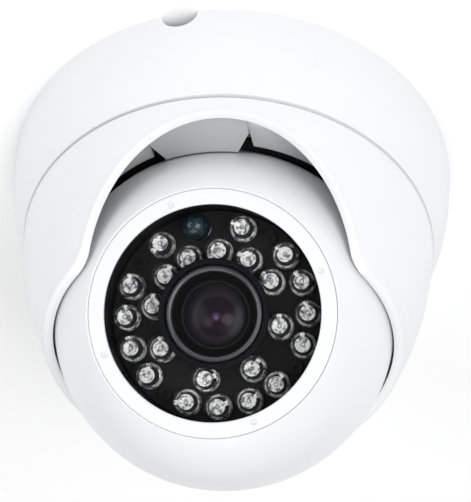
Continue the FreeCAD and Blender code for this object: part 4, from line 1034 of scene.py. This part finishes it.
class DOMECAM_OT_lens(bpy.types.Operator):
    """Model the hood, the lens barrel with its stepped cone, and the front glass"""

    bl_idname = "domecam.lens"
    bl_label = "Lens"

    def execute(self, context):
        back, front = lens_span("lens_barrel")
        lip = lens_reach("lens_barrel")
        head = lip - LIP_PROUD
        glass = lens_reach("lens_front_glass")
        low, high = lens_span("light_hood")
        bore = lens_bore("light_hood")
        mouth = lip + 0.1 * MM
        step = front - HOOD_STEP
        rim = lens_reach("light_hood")
        hood = spun("hood", [(bore, low), (bore + HOOD_WALL, low),
                             (bore + HOOD_WALL, step - 0.5 * MM),
                             (mouth + HOOD_WALL, step + 0.5 * MM), (rim, high - 0.5 * MM),
                             (rim - 0.05 * MM, high - 0.1 * MM), (rim - 0.2 * MM, high),
                             (mouth + 0.15 * MM, high), (mouth, high - 0.15 * MM), (mouth, step),
                             (bore, step)], steps=128)
        smooth(hood, 40)
        placed(hood, LENS_FRAME)
        keep(hood, "camera", MATERIALS["hood"], ["light_hood"])
        thread_bore = lens_bore("lens_barrel")
        head_back = front - HEAD_LENGTH
        cone_top = (lip - CONE_INSET, front - CONE_DROP)
        cone_bottom = (glass + 0.2 * MM, front - CONE_BOTTOM)
        glass_low, glass_high = lens_span("lens_front_glass")
        outline = [(thread_bore, back), (THREAD_RADIUS, back), (THREAD_RADIUS, head_back),
                   (head, head_back), (head, front - LIP_HEIGHT), (lip, front - LIP_HEIGHT),
                   (lip, front - RING_HEIGHT), cone_top]
        for k in range(CONE_GROOVES):
            share = (k + 1) / CONE_GROOVES
            radius = cone_top[0] + (cone_bottom[0] - cone_top[0]) * share
            height = cone_top[1] + (cone_bottom[1] - cone_top[1]) * share
            outline += [(outline[-1][0] - GROOVE_STEP, height + GROOVE_STEP), (radius, height)]
        outline += [(glass, cone_bottom[1]), (glass, glass_low), (thread_bore, glass_low)]
        barrel = spun("lens_body", outline, steps=160)
        smooth(barrel, 25)
        placed(barrel, LENS_FRAME)
        keep(barrel, "camera", MATERIALS["lens_well"], ["lens_barrel"])
        crest = (lip + cone_top[0]) / 2
        half = (lip - cone_top[0]) / 2
        ring = spun("lens_front_ring", [(lip, front - RING_HEIGHT)]
                    + arc((crest, front - half), half, 0, 180, 16) + [cone_top], steps=160)
        smooth(ring, 40)
        placed(ring, LENS_FRAME)
        keep(ring, "camera", MATERIALS["lens_rim"])
        edge = glass - 0.4 * MM
        curve = (edge ** 2 + GLASS_CROWN ** 2) / (2 * GLASS_CROWN)
        widths = [edge * math.cos(math.radians(10 * k)) for k in range(9)]
        dome = [(w, glass_high - curve + math.sqrt(curve ** 2 - w ** 2)) for w in widths]
        lens = spun("front_glass", [(0, glass_low), (glass, glass_low),
                                    (glass, glass_high - GLASS_CROWN)]
                    + dome + [(0, glass_high)], steps=96)
        smooth(lens, 30)
        placed(lens, LENS_FRAME)
        keep(lens, "camera", MATERIALS["glass"], ["lens_front_glass"])
        dress(MATERIALS["black_metal"], "lens_keeper_ring", "lens_lock_nut", "lens_holder",
              "module_drum", "module_retainer")
        dress(MATERIALS["filter"], "lens_rear_glass", "infrared_filter")
        return {"FINISHED"}


class DOMECAM_OT_boards(bpy.types.Operator):
    """Finish the boards and their hardware behind the lens"""

    bl_idname = "domecam.boards"
    bl_label = "Boards"

    def execute(self, context):
        dress(MATERIALS["green_board"], "sensor_board", "power_board")
        dress(MATERIALS["brass"], "board_spacers_front", "board_spacers_rear")
        dress(MATERIALS["steel"], "stack_screws", "shield_can")
        dress(MATERIALS["socket"], "cable_socket")
        dress(MATERIALS["sensor"], "image_sensor")
        return {"FINISHED"}


# ---- stage ----
AIM = Vector((-1.62, -13.35, 34.49)) * MM
LIGHT_AIM = Vector((0, 0, 0.03))
FLOOR_SIZE = 6.0
SENSOR_WIDTH = 36             # camera sensor, millimetres
SHIFT = (0.007, -0.002)
CLIP_START = 0.01


def area_light(name, place, size, power):
    """A square soft light aimed at the object."""
    clear_selection()
    bpy.ops.object.light_add(type="AREA", location=place)
    light = bpy.context.object
    light.name = name
    light.data.size = size
    light.data.energy = power
    light.rotation_euler = (LIGHT_AIM - Vector(place)).to_track_quat("-Z", "Y").to_euler()
    return light


class DOMECAM_OT_stage(bpy.types.Operator):
    """Set up the floor, the lights and the camera"""

    bl_idname = "domecam.stage"
    bl_label = "Stage"

    def execute(self, context):
        stage = settings("stage")
        clear_selection()
        bpy.ops.mesh.primitive_plane_add(size=FLOOR_SIZE, location=(0, 0, 0))
        floor = named(context.object, "floor")
        floor.data.materials.append(plain_finish("pale_floor", tuple(stage.floor), 0.6, grain=40.0,
                                                 grain_height=0.0, variation=0.01))
        world = bpy.data.worlds.new("studio")
        world.use_nodes = True
        world.node_tree.nodes["Background"].inputs["Color"].default_value = (1, 1, 1, 1)
        world.node_tree.nodes["Background"].inputs["Strength"].default_value = stage.sky
        context.scene.world = world
        area_light("key", (-0.42, -0.42, 0.62), 0.6, stage.key_power)
        area_light("fill", (0.62, -0.5, 0.42), 0.6, stage.fill_power)
        area_light("top", (0.1, 0.25, 0.85), 0.7, stage.top_power)
        bpy.ops.object.camera_add()
        camera = context.object
        camera.name = "view_camera"
        back = Vector((math.sin(stage.azimuth) * math.cos(stage.elevation),
                       -math.cos(stage.azimuth) * math.cos(stage.elevation),
                       math.sin(stage.elevation)))
        turn = (-back).to_track_quat("-Z", "Y").to_matrix().to_4x4()
        roll = Matrix.Rotation(stage.roll, 4, "Z")
        camera.matrix_world = Matrix.Translation(AIM + back * stage.distance) @ turn @ roll
        camera.data.lens = stage.lens
        camera.data.sensor_width = SENSOR_WIDTH
        camera.data.shift_x, camera.data.shift_y = SHIFT
        camera.data.clip_start = CLIP_START
        context.scene.camera = camera
        context.scene.view_settings.view_transform = "Standard"
        return {"FINISHED"}


class DOMECAM_PT_panel(bpy.types.Panel):
    """Buttons for the camera's pieces"""

    bl_label = "Dome camera"
    bl_idname = "DOMECAM_PT_panel"
    bl_space_type = "VIEW_3D"
    bl_region_type = "UI"
    bl_category = "Dome camera"

    def draw(self, context):
        for operator in OPERATORS:
            self.layout.operator(operator.bl_idname)
        for kind in SETTINGS:
            group = settings(kind)
            for key in group.__annotations__:
                self.layout.prop(group, key)


SETTINGS = {"housing": HousingSettings, "face": FaceSettings, "stage": StageSettings}
OPERATORS = (DOMECAM_OT_base, DOMECAM_OT_cover, DOMECAM_OT_eyeball, DOMECAM_OT_bezel,
             DOMECAM_OT_leds, DOMECAM_OT_lens, DOMECAM_OT_boards, DOMECAM_OT_stage)
CLASSES = (*SETTINGS.values(), *OPERATORS, DOMECAM_PT_panel)


def register():
    """Register the classes and hang the settings on the scene."""
    for item in CLASSES:
        bpy.utils.register_class(item)
    for kind, group in SETTINGS.items():
        setattr(bpy.types.Scene, "dome_camera_" + kind, PointerProperty(type=group))


def unregister():
    """Undo register."""
    for kind in SETTINGS:
        delattr(bpy.types.Scene, "dome_camera_" + kind)
    for item in reversed(CLASSES):
        bpy.utils.unregister_class(item)


def main():
    """Build everything in order."""
    register()
    MATERIALS.update(make_materials())
    bpy.ops.domecam.base()
    bpy.ops.domecam.cover()
    bpy.ops.domecam.eyeball()
    bpy.ops.domecam.bezel()
    bpy.ops.domecam.leds()
    bpy.ops.domecam.lens()
    bpy.ops.domecam.boards()
    bpy.ops.domecam.stage()


if __name__ == "__main__":
    main()
